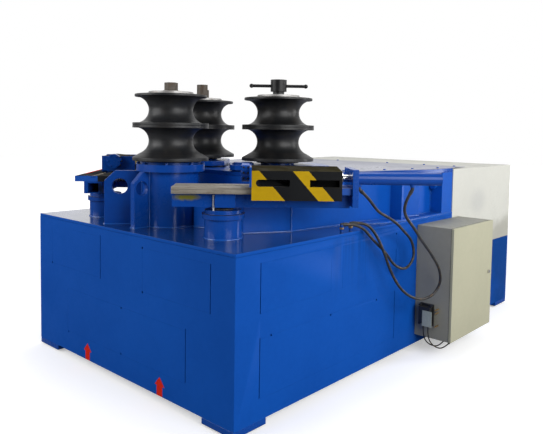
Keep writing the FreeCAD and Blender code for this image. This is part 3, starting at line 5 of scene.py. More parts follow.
import bpy
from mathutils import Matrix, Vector


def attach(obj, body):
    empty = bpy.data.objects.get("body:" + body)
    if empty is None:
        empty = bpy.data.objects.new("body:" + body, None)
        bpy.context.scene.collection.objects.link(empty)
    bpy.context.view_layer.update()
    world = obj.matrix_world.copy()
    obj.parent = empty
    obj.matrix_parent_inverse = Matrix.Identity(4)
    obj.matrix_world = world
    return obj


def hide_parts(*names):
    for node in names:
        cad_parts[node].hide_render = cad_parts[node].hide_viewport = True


# A three-roll hydraulic pipe bender. Everything is in metres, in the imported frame.

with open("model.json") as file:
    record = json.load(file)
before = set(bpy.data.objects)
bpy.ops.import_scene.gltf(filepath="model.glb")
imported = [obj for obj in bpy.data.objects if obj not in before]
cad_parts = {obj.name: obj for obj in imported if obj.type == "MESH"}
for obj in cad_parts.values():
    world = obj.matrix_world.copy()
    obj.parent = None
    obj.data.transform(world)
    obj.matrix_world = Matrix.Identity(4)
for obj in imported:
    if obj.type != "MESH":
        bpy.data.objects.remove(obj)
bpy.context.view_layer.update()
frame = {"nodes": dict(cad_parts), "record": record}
nodes = frame["nodes"]
bodyOfNode = {node: body for body, group in frame["record"]["behaviour"]["bodies"].items() for node in group}
random.seed(7)
print("frame loaded with", len(nodes), "nodes")


# Working with objects; distances in metres and angles in degrees

meshWork = {"mergeWithin": 0.00002, "flatWithin": 0.5, "smoothBelow": 38, "roundAbove": 30,
            "chamferAbove": 40}
otherNames = {"end_panels": "frontAndRearPanels", "top_cover": "topCoverSheet"}


def clearSelection():
    if bpy.context.object and bpy.context.object.mode != "OBJECT":
        bpy.ops.object.mode_set(mode="OBJECT")
    bpy.ops.object.select_all(action="DESELECT")


def makeActive(piece):
    clearSelection()
    piece.select_set(True)
    bpy.context.view_layer.objects.active = piece


def startEdit(piece, selectAll=True):
    makeActive(piece)
    bpy.ops.object.mode_set(mode="EDIT")
    bpy.ops.mesh.select_mode(type="VERT")
    if selectAll:
        bpy.ops.mesh.select_all(action="SELECT")


def endEdit():
    bpy.ops.object.mode_set(mode="OBJECT")


def useModifier(piece, kind, **settings):
    makeActive(piece)
    bpy.ops.object.modifier_add(type=kind)
    modifier = piece.modifiers[-1]
    for key, value in settings.items():
        setattr(modifier, key, value)
    bpy.ops.object.modifier_apply(modifier=modifier.name)


def softenEdges(piece, width, above=meshWork["roundAbove"]):
    useModifier(piece, "BEVEL", width=width, segments=2, limit_method="ANGLE",
                angle_limit=math.radians(above), use_clamp_overlap=True)


def smoothFaces(piece):
    makeActive(piece)
    bpy.ops.object.shade_smooth_by_angle(angle=math.radians(meshWork["smoothBelow"]))
    useModifier(piece, "WEIGHTED_NORMAL", keep_sharp=True)


def joinPieces(pieces):
    clearSelection()
    for piece in pieces:
        piece.select_set(True)
    bpy.context.view_layer.objects.active = pieces[0]
    if len(pieces) > 1:
        bpy.ops.object.join()
    return bpy.context.object


def settle(piece, name, body, finish, replaced=()):
    # Bakes the place into the mesh, gives the finish and hands the piece to its body.
    makeActive(piece)
    bpy.ops.object.transform_apply(location=True, rotation=True, scale=True)
    piece.name = name
    piece.data.name = name
    if finish:
        piece.data.materials.clear()
        piece.data.materials.append(finish)
    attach(piece, body)
    if replaced:
        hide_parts(*replaced)
    return piece


def pieceName(node):
    # The node's name in camel case, unless the piece has another name.
    first, *others = node.split("_")
    return otherNames.get(node, first + "".join(word.capitalize() for word in others))


def roundedCopy(node, finish, width, shape=None):
    # A cleaned copy of a CAD node with its edges rounded; shape may change it before that.
    name = pieceName(node)
    piece = bpy.data.objects.new(name, nodes[node].data.copy())
    bpy.context.scene.collection.objects.link(piece)
    startEdit(piece)
    bpy.ops.mesh.remove_doubles(threshold=meshWork["mergeWithin"])
    bpy.ops.mesh.dissolve_limited(angle_limit=math.radians(meshWork["flatWithin"]))
    endEdit()
    if shape:
        shape(piece)
    softenEdges(piece, width)
    smoothFaces(piece)
    return settle(piece, name, bodyOfNode[node], finish, [node])


def spunShape(profile, centre, steps):
    # profile points are (radius, height) in metres, turned about the upright line through centre.
    clearSelection()
    bpy.ops.mesh.primitive_plane_add(size=0.01, location=(0, 0, 0))
    piece = bpy.context.object
    startEdit(piece)
    bpy.ops.mesh.merge(type="CENTER")
    bpy.ops.transform.translate(value=(profile[0][0], 0, profile[0][1]))
    for (radius, height), (nextRadius, nextHeight) in zip(profile, profile[1:]):
        bpy.ops.mesh.extrude_region_move(
            TRANSFORM_OT_translate={"value": (nextRadius - radius, 0, nextHeight - height)})
    bpy.ops.mesh.select_all(action="SELECT")
    bpy.ops.mesh.spin(steps=steps, angle=2 * math.pi, center=(0, 0, 0), axis=(0, 0, 1))
    bpy.ops.mesh.select_all(action="SELECT")
    bpy.ops.mesh.remove_doubles(threshold=meshWork["mergeWithin"])
    bpy.ops.mesh.normals_make_consistent(inside=False)
    endEdit()
    piece.location = centre
    return piece


def placeShape(piece, place, turn, chamfer):
    # Chamfers a new shape, then turns it and moves it to its place.
    if chamfer:
        softenEdges(piece, chamfer, meshWork["chamferAbove"])
    piece.rotation_euler = [math.radians(a) for a in turn]
    piece.location = place
    makeActive(piece)
    bpy.ops.object.transform_apply(location=True, rotation=True, scale=True)
    return piece


def rodShape(radius, length, place, sides, chamfer, turn=(0, 0, 0)):
    # A rod from its place along its turned Z, with chamfered ends.
    clearSelection()
    bpy.ops.mesh.primitive_cylinder_add(vertices=sides, radius=radius, depth=length,
                                        location=(0, 0, length / 2))
    bpy.ops.object.transform_apply(location=True, rotation=False, scale=False)
    return placeShape(bpy.context.object, place, turn, chamfer)


def blockShape(size, place, turn=(0, 0, 0), chamfer=0):
    # A block about its middle.
    clearSelection()
    bpy.ops.mesh.primitive_cube_add(size=1, location=(0, 0, 0))
    piece = bpy.context.object
    piece.scale = size
    bpy.ops.object.transform_apply(location=False, rotation=False, scale=True)
    return placeShape(piece, place, turn, chamfer)


def curveShape(kind, places, radius, fineness):
    # A round curve through the places, or near them where kind is NURBS.
    clearSelection()
    bpy.ops.curve.primitive_nurbs_path_add(location=(0, 0, 0))
    piece = bpy.context.object
    curve = piece.data
    curve.splines.clear()
    spline = curve.splines.new(kind)
    spline.points.add(len(places) - 1)
    for point, place in zip(spline.points, places):
        point.co = (*place, 1.0)
    curve.bevel_depth = radius
    curve.bevel_resolution = fineness
    curve.use_fill_caps = True
    return piece, spline


def cutAway(piece, cutters):
    tool = joinPieces(cutters)
    useModifier(piece, "BOOLEAN", operation="DIFFERENCE", object=tool, solver="EXACT", use_self=True)
    clearSelection()
    bpy.data.objects.remove(tool)


def paintFaces(piece, finish, chosen):
    # Gives one more finish to the faces whose middle and normal are chosen.
    piece.data.materials.append(finish)
    for face in piece.data.polygons:
        if chosen(face.center, face.normal):
            face.material_index = len(piece.data.materials) - 1


# Camera, fitted to the edges of the base box; image sizes are in pixels

view = {"place": (3.24548, -3.96925, 1.62852), "turn": (86.5083, -0.8983, 42.1837), "focal": 594.97,
        "axis": (275.66, 169.55), "image": (543, 434), "sensor": 36.0}

clearSelection()
bpy.ops.object.camera_add(location=view["place"], rotation=[math.radians(a) for a in view["turn"]])
camera = bpy.context.object
camera.name = "photoCamera"
camera.data.sensor_width = view["sensor"]
camera.data.lens = view["focal"] * view["sensor"] / view["image"][0]
camera.data.shift_x = (view["image"][0] / 2 - view["axis"][0]) / view["image"][0]
camera.data.shift_y = (view["axis"][1] - view["image"][1] / 2) / view["image"][0]
camera.data.clip_end = 100
bpy.context.scene.camera = camera
print("camera set")


# Shader nodes

def treeOf(values):
    # The node tree of the first socket among the values.
    return next(value.id_data for value in values if isinstance(value, bpy.types.NodeSocket))


def setInput(socket, value):
    # Links another node's output or sets a value; three numbers make an opaque colour.
    if isinstance(value, bpy.types.NodeSocket):
        socket.id_data.links.new(value, socket)
    elif socket.type == "RGBA" and len(value) == 3:
        socket.default_value = (*value, 1.0)
    else:
        socket.default_value = value


def addNode(tree, kind, values=None, **settings):
    # values sets or links the node's inputs, by name or number.
    node = tree.nodes.new("ShaderNode" + kind)
    for key, value in settings.items():
        setattr(node, key, value)
    for key, value in (values or {}).items():
        setInput(node.inputs[key], value)
    return node


def mathNode(operation, *values, clamp=False):
    return addNode(treeOf(values), "Math", dict(enumerate(values)), operation=operation,
                   use_clamp=clamp).outputs[0]


def product(first, second, clamp=False):
    return mathNode("MULTIPLY", first, second, clamp=clamp)


def total(first, second, clamp=False):
    return mathNode("ADD", first, second, clamp=clamp)


def difference(first, second):
    return mathNode("SUBTRACT", first, second)


def isAbove(value, limit):
    return mathNode("GREATER_THAN", value, limit)


def isBelow(value, limit):
    return mathNode("LESS_THAN", value, limit)


def vectorNode(operation, *values):
    # A dot product or a length comes out as a value, all else as a vector.
    node = addNode(treeOf(values), "VectorMath", dict(enumerate(values)), operation=operation)
    return node.outputs["Value" if operation in ("DOT_PRODUCT", "LENGTH") else "Vector"]


def splitVector(vector):
    return addNode(vector.id_data, "SeparateXYZ", {0: vector}).outputs


def rangeNode(value, low, high, newLow=0.0, newHigh=1.0, **settings):
    values = {"Value": value, "From Min": low, "From Max": high, "To Min": newLow, "To Max": newHigh}
    return addNode(value.id_data, "MapRange", values, **settings).outputs[0]


def noiseNode(vector, scale, detail=3.0, roughness=0.55):
    values = {"Vector": vector, "Scale": scale, "Detail": detail, "Roughness": roughness}
    return addNode(vector.id_data, "TexNoise", values).outputs[0]


def ruffleNode(vector, scale, size):
    # Noise about zero, which makes a painted edge uneven.
    return product(difference(noiseNode(vector, scale), 0.5), size)


def blendColour(factor, first, second):
    values = {"Factor": factor, 6: first, 7: second}
    return addNode(factor.id_data, "Mix", values, data_type="RGBA").outputs[2]


# Shader node groups, each used by several finishes

def newGroup(name, inputs, outputs):
    # Each group takes a vector. Four numbers make an input a colour, and three make it a vector.
    tree = bpy.data.node_groups.new(name, "ShaderNodeTree")
    for label, value in {"Vector": (0, 0, 0), **inputs}.items():
        kind = {3: "Vector", 4: "Color"}[len(value)] if isinstance(value, tuple) else "Float"
        socket = tree.interface.new_socket(name=label, in_out="INPUT", socket_type="NodeSocket" + kind)
        socket.default_value = value
    for label in outputs:
        kind = "Color" if label == "Colour" else "Float"
        tree.interface.new_socket(name=label, in_out="OUTPUT", socket_type="NodeSocket" + kind)
    return tree, tree.nodes.new("NodeGroupInput").outputs, tree.nodes.new("NodeGroupOutput").inputs


def makePaintVariation():
    # Slow changes of tone over sprayed paint, and its orange peel.
    tree, given, out = newGroup("paintVariation", {"Colour": (1, 1, 1, 1), "Shade": (1, 1, 1, 1),
                                                   "Cloud Scale": 2.0, "Peel Scale": 220.0},
                                ("Colour", "Height", "Cloud"))
    cloud = noiseNode(given["Vector"], given["Cloud Scale"], 4.0)
    fine = noiseNode(given["Vector"], 31.0, 2.0)
    mixed = total(product(cloud, 0.8), product(fine, 0.2))
    tone = rangeNode(mixed, 0.36, 0.64)
    setInput(out["Colour"], blendColour(tone, given["Shade"], given["Colour"]))
    setInput(out["Height"], noiseNode(given["Vector"], given["Peel Scale"], 1.0))
    setInput(out["Cloud"], tone)
    return tree


def makeEdgeWear():
    # A broken mask along the piece's edges.
    tree, given, out = newGroup("edgeWear", {"Radius": 0.004, "Break Scale": 25.0, "Spread": 0.5}, ("Mask",))
    soft = addNode(tree, "Bevel", {"Radius": given["Radius"]}, samples=4).outputs[0]
    sharp = addNode(tree, "NewGeometry").outputs["Normal"]
    edge = rangeNode(vectorNode("DOT_PRODUCT", soft, sharp), 0.995, 0.9)
    broken = noiseNode(given["Vector"], given["Break Scale"], 5.0, 0.7)
    level = difference(1.0, given["Spread"])
    kept = rangeNode(broken, level, total(level, 0.08))
    setInput(out["Mask"], product(edge, kept, clamp=True))
    return tree


def makeGrimeAndShade():
    # Dirt and painted shade in corners, where ambient occlusion darkens creases and recesses, and dust on
    # what faces up.
    tree, given, out = newGroup("grime", {"Reach": 0.05, "Scale": 9.0}, ("Corner", "Dust"))
    shade = addNode(tree, "AmbientOcclusion", {"Distance": given["Reach"]}, samples=4).outputs["AO"]
    cloud = noiseNode(given["Vector"], given["Scale"], 5.0, 0.65)
    # Painted shade mixed with dirt: the corner mask darkens creases, recesses and the places between parts.
    corner = product(rangeNode(shade, 0.75, 0.25), rangeNode(cloud, 0.35, 0.6))
    setInput(out["Corner"], corner)
    up = splitVector(addNode(tree, "NewGeometry").outputs["Normal"])["Z"]
    dust = product(rangeNode(up, 0.6, 1.0), rangeNode(cloud, 0.42, 0.7))
    setInput(out["Dust"], dust)
    return tree


def makeTurningLines():
    # The fine rings that a lathe leaves, about the upright line through the vector's origin.
    tree, given, out = newGroup("turningLines", {"Fineness": 700.0}, ("Lines", "Bands"))
    parts = splitVector(given["Vector"])
    squares = [mathNode("POWER", parts[axis], 2.0) for axis in "XY"]
    across = addNode(tree, "CombineXYZ", {0: mathNode("SQRT", total(*squares)), 2: parts["Z"]})
    lines = addNode(tree, "VectorMath", {0: across.outputs[0], 3: given["Fineness"]}, operation="SCALE")
    setInput(out["Lines"], noiseNode(lines.outputs[0], 1.0, 2.0))
    setInput(out["Bands"], noiseNode(across.outputs[0], 26.0, 3.0))
    return tree


def makeStreaks():
    # Marks that run straight down from a level and fade out.
    tree, given, out = newGroup("streaks", {"Level": 1.0, "Length": 0.5, "Near": -1.0, "Far": 1.0,
                                            "Density": 28.0}, ("Mask",))
    thin = vectorNode("MULTIPLY", given["Vector"], (1.0, 1.0, 0.035))
    lines = noiseNode(thin, given["Density"], 3.0, 0.6)
    parts = splitVector(given["Vector"])
    below = mathNode("DIVIDE", difference(given["Level"], parts["Z"]), given["Length"])
    mask = product(rangeNode(lines, 0.42, 0.62), rangeNode(below, 1.0, 0.0))
    mask = product(mask, rangeNode(below, -0.02, 0.04))
    middle = product(total(given["Near"], given["Far"]), 0.5)
    half = difference(given["Far"], middle)
    share = mathNode("DIVIDE", difference(parts["Y"], middle), half)
    inside = rangeNode(mathNode("ABSOLUTE", share), 1.0, 0.6)
    setInput(out["Mask"], product(mask, inside))
    return tree


def makeSpeckle():
    # Small separate spots, thicker in some places.
    tree, given, out = newGroup("speckle", {"Scale": 60.0, "Size": 0.25, "Patch Scale": 3.0}, ("Mask",))
    values = {"Vector": given["Vector"], "Scale": given["Scale"]}
    cell = addNode(tree, "TexVoronoi", values).outputs["Distance"]
    patch = rangeNode(noiseNode(given["Vector"], given["Patch Scale"], 2.0), 0.5, 0.72)
    spot = isBelow(cell, product(given["Size"], patch))
    setInput(out["Mask"], product(spot, patch, clamp=True))
    return tree


def makeBlotch():
    # A patch with ragged edges about a centre, with its own half sizes.
    tree, given, out = newGroup("blotch", {"Centre": (0, 0, 0), "Reach": (1, 1, 1), "Scale": 20.0,
                                           "Ragged": 1.6}, ("Mask",))
    away = vectorNode("SUBTRACT", given["Vector"], given["Centre"])
    distance = vectorNode("LENGTH", vectorNode("DIVIDE", away, given["Reach"]))
    cloud = difference(noiseNode(given["Vector"], given["Scale"], 5.0, 0.65), 0.5)
    ragged = total(distance, product(cloud, given["Ragged"]))
    setInput(out["Mask"], rangeNode(ragged, 1.0, 0.35))
    return tree


def makeArrowMark():
    # An upright arrow painted on what lies in front of the face's depth, towards -Y.
    tree, given, out = newGroup("arrowMark", {"Middle": 0.0, "Low": 0.0, "Neck": 0.1, "Tip": 0.2,
                                              "Shaft": 0.03, "Head": 0.05, "Face": 0.0}, ("Mask",))
    wobble = ruffleNode(given["Vector"], 60.0, 0.006)
    parts = splitVector(given["Vector"])
    across = total(mathNode("ABSOLUTE", difference(parts["X"], given["Middle"])), wobble)
    height = total(parts["Z"], wobble)
    left = mathNode("DIVIDE", difference(given["Tip"], height), difference(given["Tip"], given["Neck"]))
    inHead = product(isBelow(across, product(left, given["Head"])), isAbove(height, given["Neck"]))
    inShaft = product(isBelow(across, given["Shaft"]), isBelow(height, given["Neck"]))
    inShaft = product(inShaft, isAbove(height, given["Low"]))
    onFace = isBelow(parts["Y"], given["Face"])
    setInput(out["Mask"], product(total(inHead, inShaft), onFace, clamp=True))
    return tree


groups = {"blotch": makeBlotch(), "arrowMark": makeArrowMark(), "paintVariation": makePaintVariation(),
          "edgeWear": makeEdgeWear(), "grime": makeGrimeAndShade(), "turningLines": makeTurningLines(),
          "streaks": makeStreaks(), "speckle": makeSpeckle()}
print("shader groups made")


# Finishes

def groupNode(name, place, values=None):
    values = {"Vector": place, **(values or {})}
    return addNode(place.id_data, "Group", values, node_tree=groups[name]).outputs


def startMaterial(name, roughness, metallic=0.0, coat=0.0, coatRoughness=0.05, specular=0.5):
    material = bpy.data.materials.new(name)
    material.use_nodes = True
    tree = material.node_tree
    shader = tree.nodes["Principled BSDF"].inputs
    for label, value in (("Roughness", roughness), ("Metallic", metallic), ("Coat Weight", coat),
                         ("Coat Roughness", coatRoughness), ("Specular IOR Level", specular)):
        shader[label].default_value = value
    return material, shader, addNode(tree, "TexCoord").outputs["Object"]


def finishWith(shader, colour, roughness, height, strength, distance):
    # Links what every finish ends in: its colour, its roughness and its fine relief.
    setInput(shader["Base Color"], colour)
    setInput(shader["Roughness"], roughness)
    values = {"Height": height, "Strength": strength, "Distance": distance}
    setInput(shader["Normal"], addNode(height.id_data, "Bump", values).outputs[0])


# A kind's roughest and smoothest are shares of a finish's own roughness; pairs are ranges of noise
paintLook = {"wear": 0.7, "wornRoughness": 0.25, "roughest": 1.25, "smoothest": 0.8, "relief": 0.5}
turnedLook = {"tone": (0.3, 0.7), "stain": (0.48, 0.66), "bands": (0.25, 0.75), "roughest": 1.3,
              "smoothest": 0.75, "relief": 0.6, "depth": 0.00004}
metalLook = {"tone": (0.3, 0.7), "stain": (0.5, 0.64), "stainRoughness": 0.3, "roughest": 1.3,
             "smoothest": 0.8, "relief": 0.5}
plainLook = {"tone": (0.35, 0.65), "slow": (0.3, 0.7), "slowScale": 7.0, "spots": (0.54, 0.62),
             "spotScale": 38.0, "spotStrength": 0.75, "roughest": 1.15, "smoothest": 0.85, "relief": 0.5,
             "depth": 0.00006}


def paintFinish(name, colour, shade, roughness, coat, peel=0.00004, cloud=1.6, wear=0.35,
                wearColour=(0.05, 0.05, 0.055), corner=0.5, cornerGrimeShadeColour=(0.006, 0.01, 0.02), dust=0.12,
                dustColour=(0.3, 0.29, 0.27), specular=0.5, coatRoughness=0.12, marks=()):
    # Each mark over the paint is a group's name, its values, its strength and its colour.
    material, shader, place = startMaterial(name, roughness, 0.0, coat, coatRoughness, specular)
    paint = groupNode("paintVariation", place, {"Colour": colour, "Shade": shade, "Cloud Scale": cloud})
    edge = groupNode("edgeWear", place, {"Spread": wear})["Mask"]
    grime = groupNode("grime", place)
    mixed = blendColour(product(grime["Dust"], dust), paint["Colour"], dustColour)
    # Painted shade with dirt in creases and recesses, drawn towards the corner colour.
    mixed = blendColour(product(grime["Corner"], corner), mixed, cornerGrimeShadeColour)
    for group, values, strength, markColour in marks:
        mask = groupNode(group, place, values)["Mask"]
        mixed = blendColour(product(mask, strength), mixed, markColour)
    mixed = blendColour(product(edge, paintLook["wear"]), mixed, wearColour)
    rough = rangeNode(paint["Cloud"], 0.0, 1.0, roughness * paintLook["roughest"],
                      roughness * paintLook["smoothest"])
    rough = total(rough, product(grime["Dust"], dust))
    rough = total(rough, product(edge, paintLook["wornRoughness"]), clamp=True)
    finishWith(shader, mixed, rough, paint["Height"], paintLook["relief"], peel)
    return material


def turnedFinish(name, colour, shade, centre, roughness, metallic, stain, stainStrength, stainScale, **sheen):
    # A lathe-turned finish about the upright line through centre, stained in patches.
    material, shader, place = startMaterial(name, roughness, metallic, **sheen)
    values = {"Vector": place, "Location": (-centre[0], -centre[1], 0)}
    rings = groupNode("turningLines", addNode(place.id_data, "Mapping", values).outputs[0])
    mixed = blendColour(rangeNode(rings["Bands"], *turnedLook["tone"]), shade, colour)
    patch = rangeNode(noiseNode(place, stainScale, 6.0, 0.65), *turnedLook["stain"])
    mixed = blendColour(product(patch, stainStrength), mixed, stain)
    rough = rangeNode(rings["Bands"], *turnedLook["bands"], roughness * turnedLook["roughest"],
                      roughness * turnedLook["smoothest"])
    finishWith(shader, mixed, rough, rings["Lines"], turnedLook["relief"], turnedLook["depth"])
    return material


def metalFinish(name, colour, shade, roughness, metallic=1.0, grainScale=(60.0, 60.0, 60.0), grain=0.00005,
                stain=None, stainStrength=0.7, stainScale=20.0):
    # Bare or dark metal with a grain, and stains where it has rusted.
    material, shader, place = startMaterial(name, roughness, metallic)
    fine = noiseNode(vectorNode("MULTIPLY", place, grainScale), 6.0, 4.0, 0.6)
    mixed = blendColour(rangeNode(fine, *metalLook["tone"]), shade, colour)
    rough = rangeNode(fine, *metalLook["tone"], roughness * metalLook["roughest"],
                      roughness * metalLook["smoothest"])
    if stain:
        patch = rangeNode(noiseNode(place, stainScale, 6.0, 0.7), *metalLook["stain"])
        amount = product(patch, stainStrength)
        mixed = blendColour(amount, mixed, stain)
        rough = total(rough, product(amount, metalLook["stainRoughness"]), clamp=True)
        setInput(shader["Metallic"], product(metallic, difference(1.0, amount)))
    finishWith(shader, mixed, rough, fine, metalLook["relief"], grain)
    return material


def plainFinish(name, colour, shade, roughness, scale=90.0, coat=0.0, spots=None):
    # Rubber, plastic and dull black pieces.
    material, shader, place = startMaterial(name, roughness, 0.0, coat)
    fine = noiseNode(place, scale, 4.0, 0.6)
    slow = noiseNode(place, plainLook["slowScale"], 3.0)
    tone = rangeNode(product(total(fine, slow), 0.5), *plainLook["tone"])
    mixed = blendColour(tone, shade, colour)
    if spots:
        spotted = rangeNode(noiseNode(place, plainLook["spotScale"], 2.0), *plainLook["spots"])
        mixed = blendColour(product(spotted, plainLook["spotStrength"]), mixed, spots)
    rough = rangeNode(slow, *plainLook["slow"], roughness * plainLook["roughest"],
                      roughness * plainLook["smoothest"])
    finishWith(shader, mixed, rough, fine, plainLook["relief"], plainLook["depth"])
    return material


# The three rollers and the two guides

# Each roller's tone darkens its steel: painted shade, deepest on the right roller and less on the left.
rollers = {"main": {"centre": (0.0, -1.447), "tone": 1.0}, "right": {"centre": (0.407, -0.813), "tone": 0.45},
           "left": {"centre": (-0.407, -0.813), "tone": 0.7}}
guides = {"right": (45.0, (0.439, -1.776)), "left": (135.0, (-0.439, -1.776))}  # angle and foot of each axis


def onGuide(side, along, across, height):
    angle, foot = guides[side]
    turn = math.radians(angle)
    return (foot[0] + along * math.cos(turn) - across * math.sin(turn),
            foot[1] + along * math.sin(turn) + across * math.cos(turn), height)


def fromGuide(side, point):
    angle, foot = guides[side]
    turn = math.radians(angle)
    x, y = point[0] - foot[0], point[1] - foot[1]
    return x * math.cos(turn) + y * math.sin(turn), y * math.cos(turn) - x * math.sin(turn)


def guideVector(place, side):
    # The place seen along the guide: along, across and height.
    angle, foot = guides[side]
    moved = vectorNode("ADD", place, (-foot[0], -foot[1], 0))
    values = {"Vector": moved, "Angle": -math.radians(angle)}
    return addNode(place.id_data, "VectorRotate", values, rotation_type="Z_AXIS").outputs[0]


# Paints

blueTone = {"colour": (0.0048, 0.080, 0.41), "shade": (0.0038, 0.068, 0.36)}
gloss = {"colour": (0.0036, 0.063, 0.345), "shade": (0.0026, 0.050, 0.29), "roughness": 0.28, "coat": 0.25,
         "specular": 0.15}
panel = {**blueTone, "roughness": 0.5, "coat": 0.0, "specular": 0.05, "wear": 0.2, "dust": 0.0}
arrow = {"Low": 0.04, "Neck": 0.112, "Tip": 0.167, "Shaft": 0.028, "Head": 0.048, "Face": -1.84}
rustBrown = (0.11, 0.065, 0.035)

bluePaint = paintFinish("bluePaint", **gloss)
# Painted light: the body walls get the blue paint made lighter, in place of more light from the side.
bodyPaint = paintFinish("bodyPaint", (0.0036, 0.090, 0.48), (0.0028, 0.074, 0.40), 0.34, 0.12, specular=0.1,
                        coatRoughness=0.2)
sidePaint = paintFinish("sidePaint", **panel, marks=(
    ("streaks", {"Level": 0.975, "Length": 0.42, "Near": -1.06, "Far": -0.5}, 0.4, (0.003, 0.030, 0.15)),
    # The blotch is painted shade: it darkens the side panel towards the rear.
    ("blotch", {"Centre": (1.06, 1.75, 0.6), "Reach": (0.3, 1.15, 0.9), "Scale": 2.0}, 0.8,
     (0.0030, 0.040, 0.18))))
frontPaint = paintFinish("frontPaint", **panel, marks=[
    ("arrowMark", {"Middle": middle, **arrow}, 1.0, (0.62, 0.022, 0.010)) for middle in (-0.39, 0.42)])
deckPaint = paintFinish("deckPaint", (0.005, 0.044, 0.20), (0.004, 0.032, 0.15), 0.2, 0.6, peel=0.0002,
                        cloud=2.6, dust=0.04, coatRoughness=0.05, specular=0.3)
# Painted highlight: the welds are a lighter blue than the paint around them, for the glints on the beads.
weldHighlightPaint = paintFinish("weldHighlightPaint", (0.008, 0.10, 0.46), (0.006, 0.08, 0.38), 0.2, 0.6, corner=0.2)
hoodPaint = paintFinish(
    "hoodPaint", (0.60, 0.60, 0.55), (0.56, 0.56, 0.515), 0.5, 0.0, wear=0.2, specular=0.2,
    wearColour=(0.45, 0.44, 0.42), cornerGrimeShadeColour=(0.2, 0.19, 0.17), dust=0.2,
    marks=(("speckle", {"Scale": 55.0, "Size": 0.30, "Patch Scale": 1.7}, 0.5, (0.2, 0.19, 0.17)),
           ("blotch", {"Centre": (1.06, 1.12, 1.06), "Reach": (0.3, 0.20, 0.14), "Scale": 120.0}, 0.3,
            (0.34, 0.35, 0.36)),
           # The second blotch is painted shade: the hood darker towards its bottom.
           ("blotch", {"Centre": (1.06, 1.65, 0.70), "Reach": (0.3, 1.1, 0.20), "Scale": 5.0}, 0.85,
            (0.36, 0.355, 0.31))))
coverSheetPaint = paintFinish(
    "coverSheetPaint", (0.37, 0.38, 0.45), (0.27, 0.28, 0.35), 0.3, 0.0, wear=0.2, specular=0.12, cloud=0.9,
    wearColour=(0.3, 0.3, 0.3), cornerGrimeShadeColour=(0.12, 0.12, 0.13), dust=0.2, dustColour=(0.50, 0.49, 0.46))
cabinetPaint = paintFinish(
    "cabinetPaint", (0.44, 0.43, 0.31), (0.41, 0.40, 0.29), 0.55, 0.0, wear=0.18, peel=0.0001,
    specular=0.25, wearColour=(0.35, 0.33, 0.28), cornerGrimeShadeColour=(0.15, 0.14, 0.11), dust=0.25)
# The case is a greyer and darker copy of the door's paint: partly a greyer paint, partly painted shade for
# its shaded side.
cabinetCasePaint = paintFinish(
    "cabinetCasePaint", (0.32, 0.315, 0.26), (0.28, 0.275, 0.23), 0.5, 0.0, wear=0.18, specular=0.25,
    peel=0.0001, wearColour=(0.2, 0.2, 0.19), cornerGrimeShadeColour=(0.05, 0.05, 0.05), dust=0.3,
    dustColour=(0.35, 0.37, 0.38))
beamPaint = paintFinish("beamPaint", **gloss, marks=(
    ("blotch", {"Centre": onGuide("right", 0.09, -0.075, 1.248), "Reach": (0.10, 0.10, 0.024), "Scale": 14.0},
     0.95, (0.20, 0.19, 0.015)),
    ("blotch", {"Centre": onGuide("right", 0.56, -0.09, 1.262), "Reach": (0.08, 0.08, 0.016), "Scale": 18.0},
     0.5, (0.13, 0.13, 0.015)),
    # The third blotch is painted shadow: the left beam's front end made nearly black.
    ("blotch", {"Centre": onGuide("left", 0.0, -0.05, 1.235), "Reach": (0.045, 0.045, 0.06), "Scale": 20.0},
     0.9, (0.002, 0.006, 0.02))))
tankPaint = paintFinish("tankPaint", (0.20, 0.22, 0.24), (0.16, 0.18, 0.20), 0.35, 0.3)
blackPaint = paintFinish("blackPaint", (0.010, 0.010, 0.011), (0.013, 0.013, 0.014), 0.4, 0.0, specular=0.25,
                         wearColour=(0.16, 0.14, 0.12), wear=0.5, dust=0.10)
screwPaint = paintFinish("screwPaint", (0.012, 0.09, 0.45), blueTone["shade"], 0.2, 0.6)
coverTopPaint = paintFinish("coverTopPaint", (0.026, 0.022, 0.012), (0.040, 0.034, 0.015), 0.7, 0.0, wear=0.3,
                            dust=0.1, specular=0.0)


# Metals, rubber and plastics

def rollerFinish(side):
    # The tone scales both colours of the roller's steel, which is painted shade.
    colour, shade = ([value * rollers[side]["tone"] for value in tone]
                     for tone in ((0.010, 0.011, 0.013), (0.006, 0.007, 0.009)))
    return turnedFinish(side + "RollerSteel", colour, shade, rollers[side]["centre"], 0.46, 0.0,
                        (0.024, 0.021, 0.018), 0.5, 9.0, coat=0.12, coatRoughness=0.28, specular=0.4)


rollerSteel = {side: rollerFinish(side) for side in rollers}
washerSteel = {side: turnedFinish(side + "WasherSteel", (0.50, 0.50, 0.49), (0.36, 0.35, 0.34),
                                  roller["centre"], 0.4, 0.45, rustBrown, 0.4, 24.0)
               for side, roller in rollers.items()}
rustySteel = metalFinish("rustySteel", (0.10, 0.082, 0.066), (0.05, 0.042, 0.034), 0.5, 0.4, stain=rustBrown,
                         stainScale=30.0)
machinedSteel = metalFinish("machinedSteel", (0.34, 0.31, 0.265), (0.23, 0.205, 0.175), 0.38, 0.55,
                            grainScale=(3.0, 3.0, 26.0), stain=(0.16, 0.12, 0.085), stainStrength=0.5)
brightSteel = metalFinish("brightSteel", (0.78, 0.78, 0.80), (0.70, 0.70, 0.72), 0.12, grain=0.00001)
brass = metalFinish("brass", (0.62, 0.42, 0.20), (0.45, 0.30, 0.14), 0.3, 0.9, stain=(0.12, 0.08, 0.05),
                    stainStrength=0.5)
studSteel = metalFinish("studSteel", (0.80, 0.79, 0.80), (0.62, 0.61, 0.62), 0.35, 0.25)
darkSteel = metalFinish("darkSteel", (0.020, 0.022, 0.028), (0.012, 0.013, 0.018), 0.45, 0.5)
hoseRubber = plainFinish("hoseRubber", (0.012, 0.012, 0.013), (0.022, 0.021, 0.021), 0.42, scale=260.0,
                         coat=0.15, spots=(0.085, 0.050, 0.016))
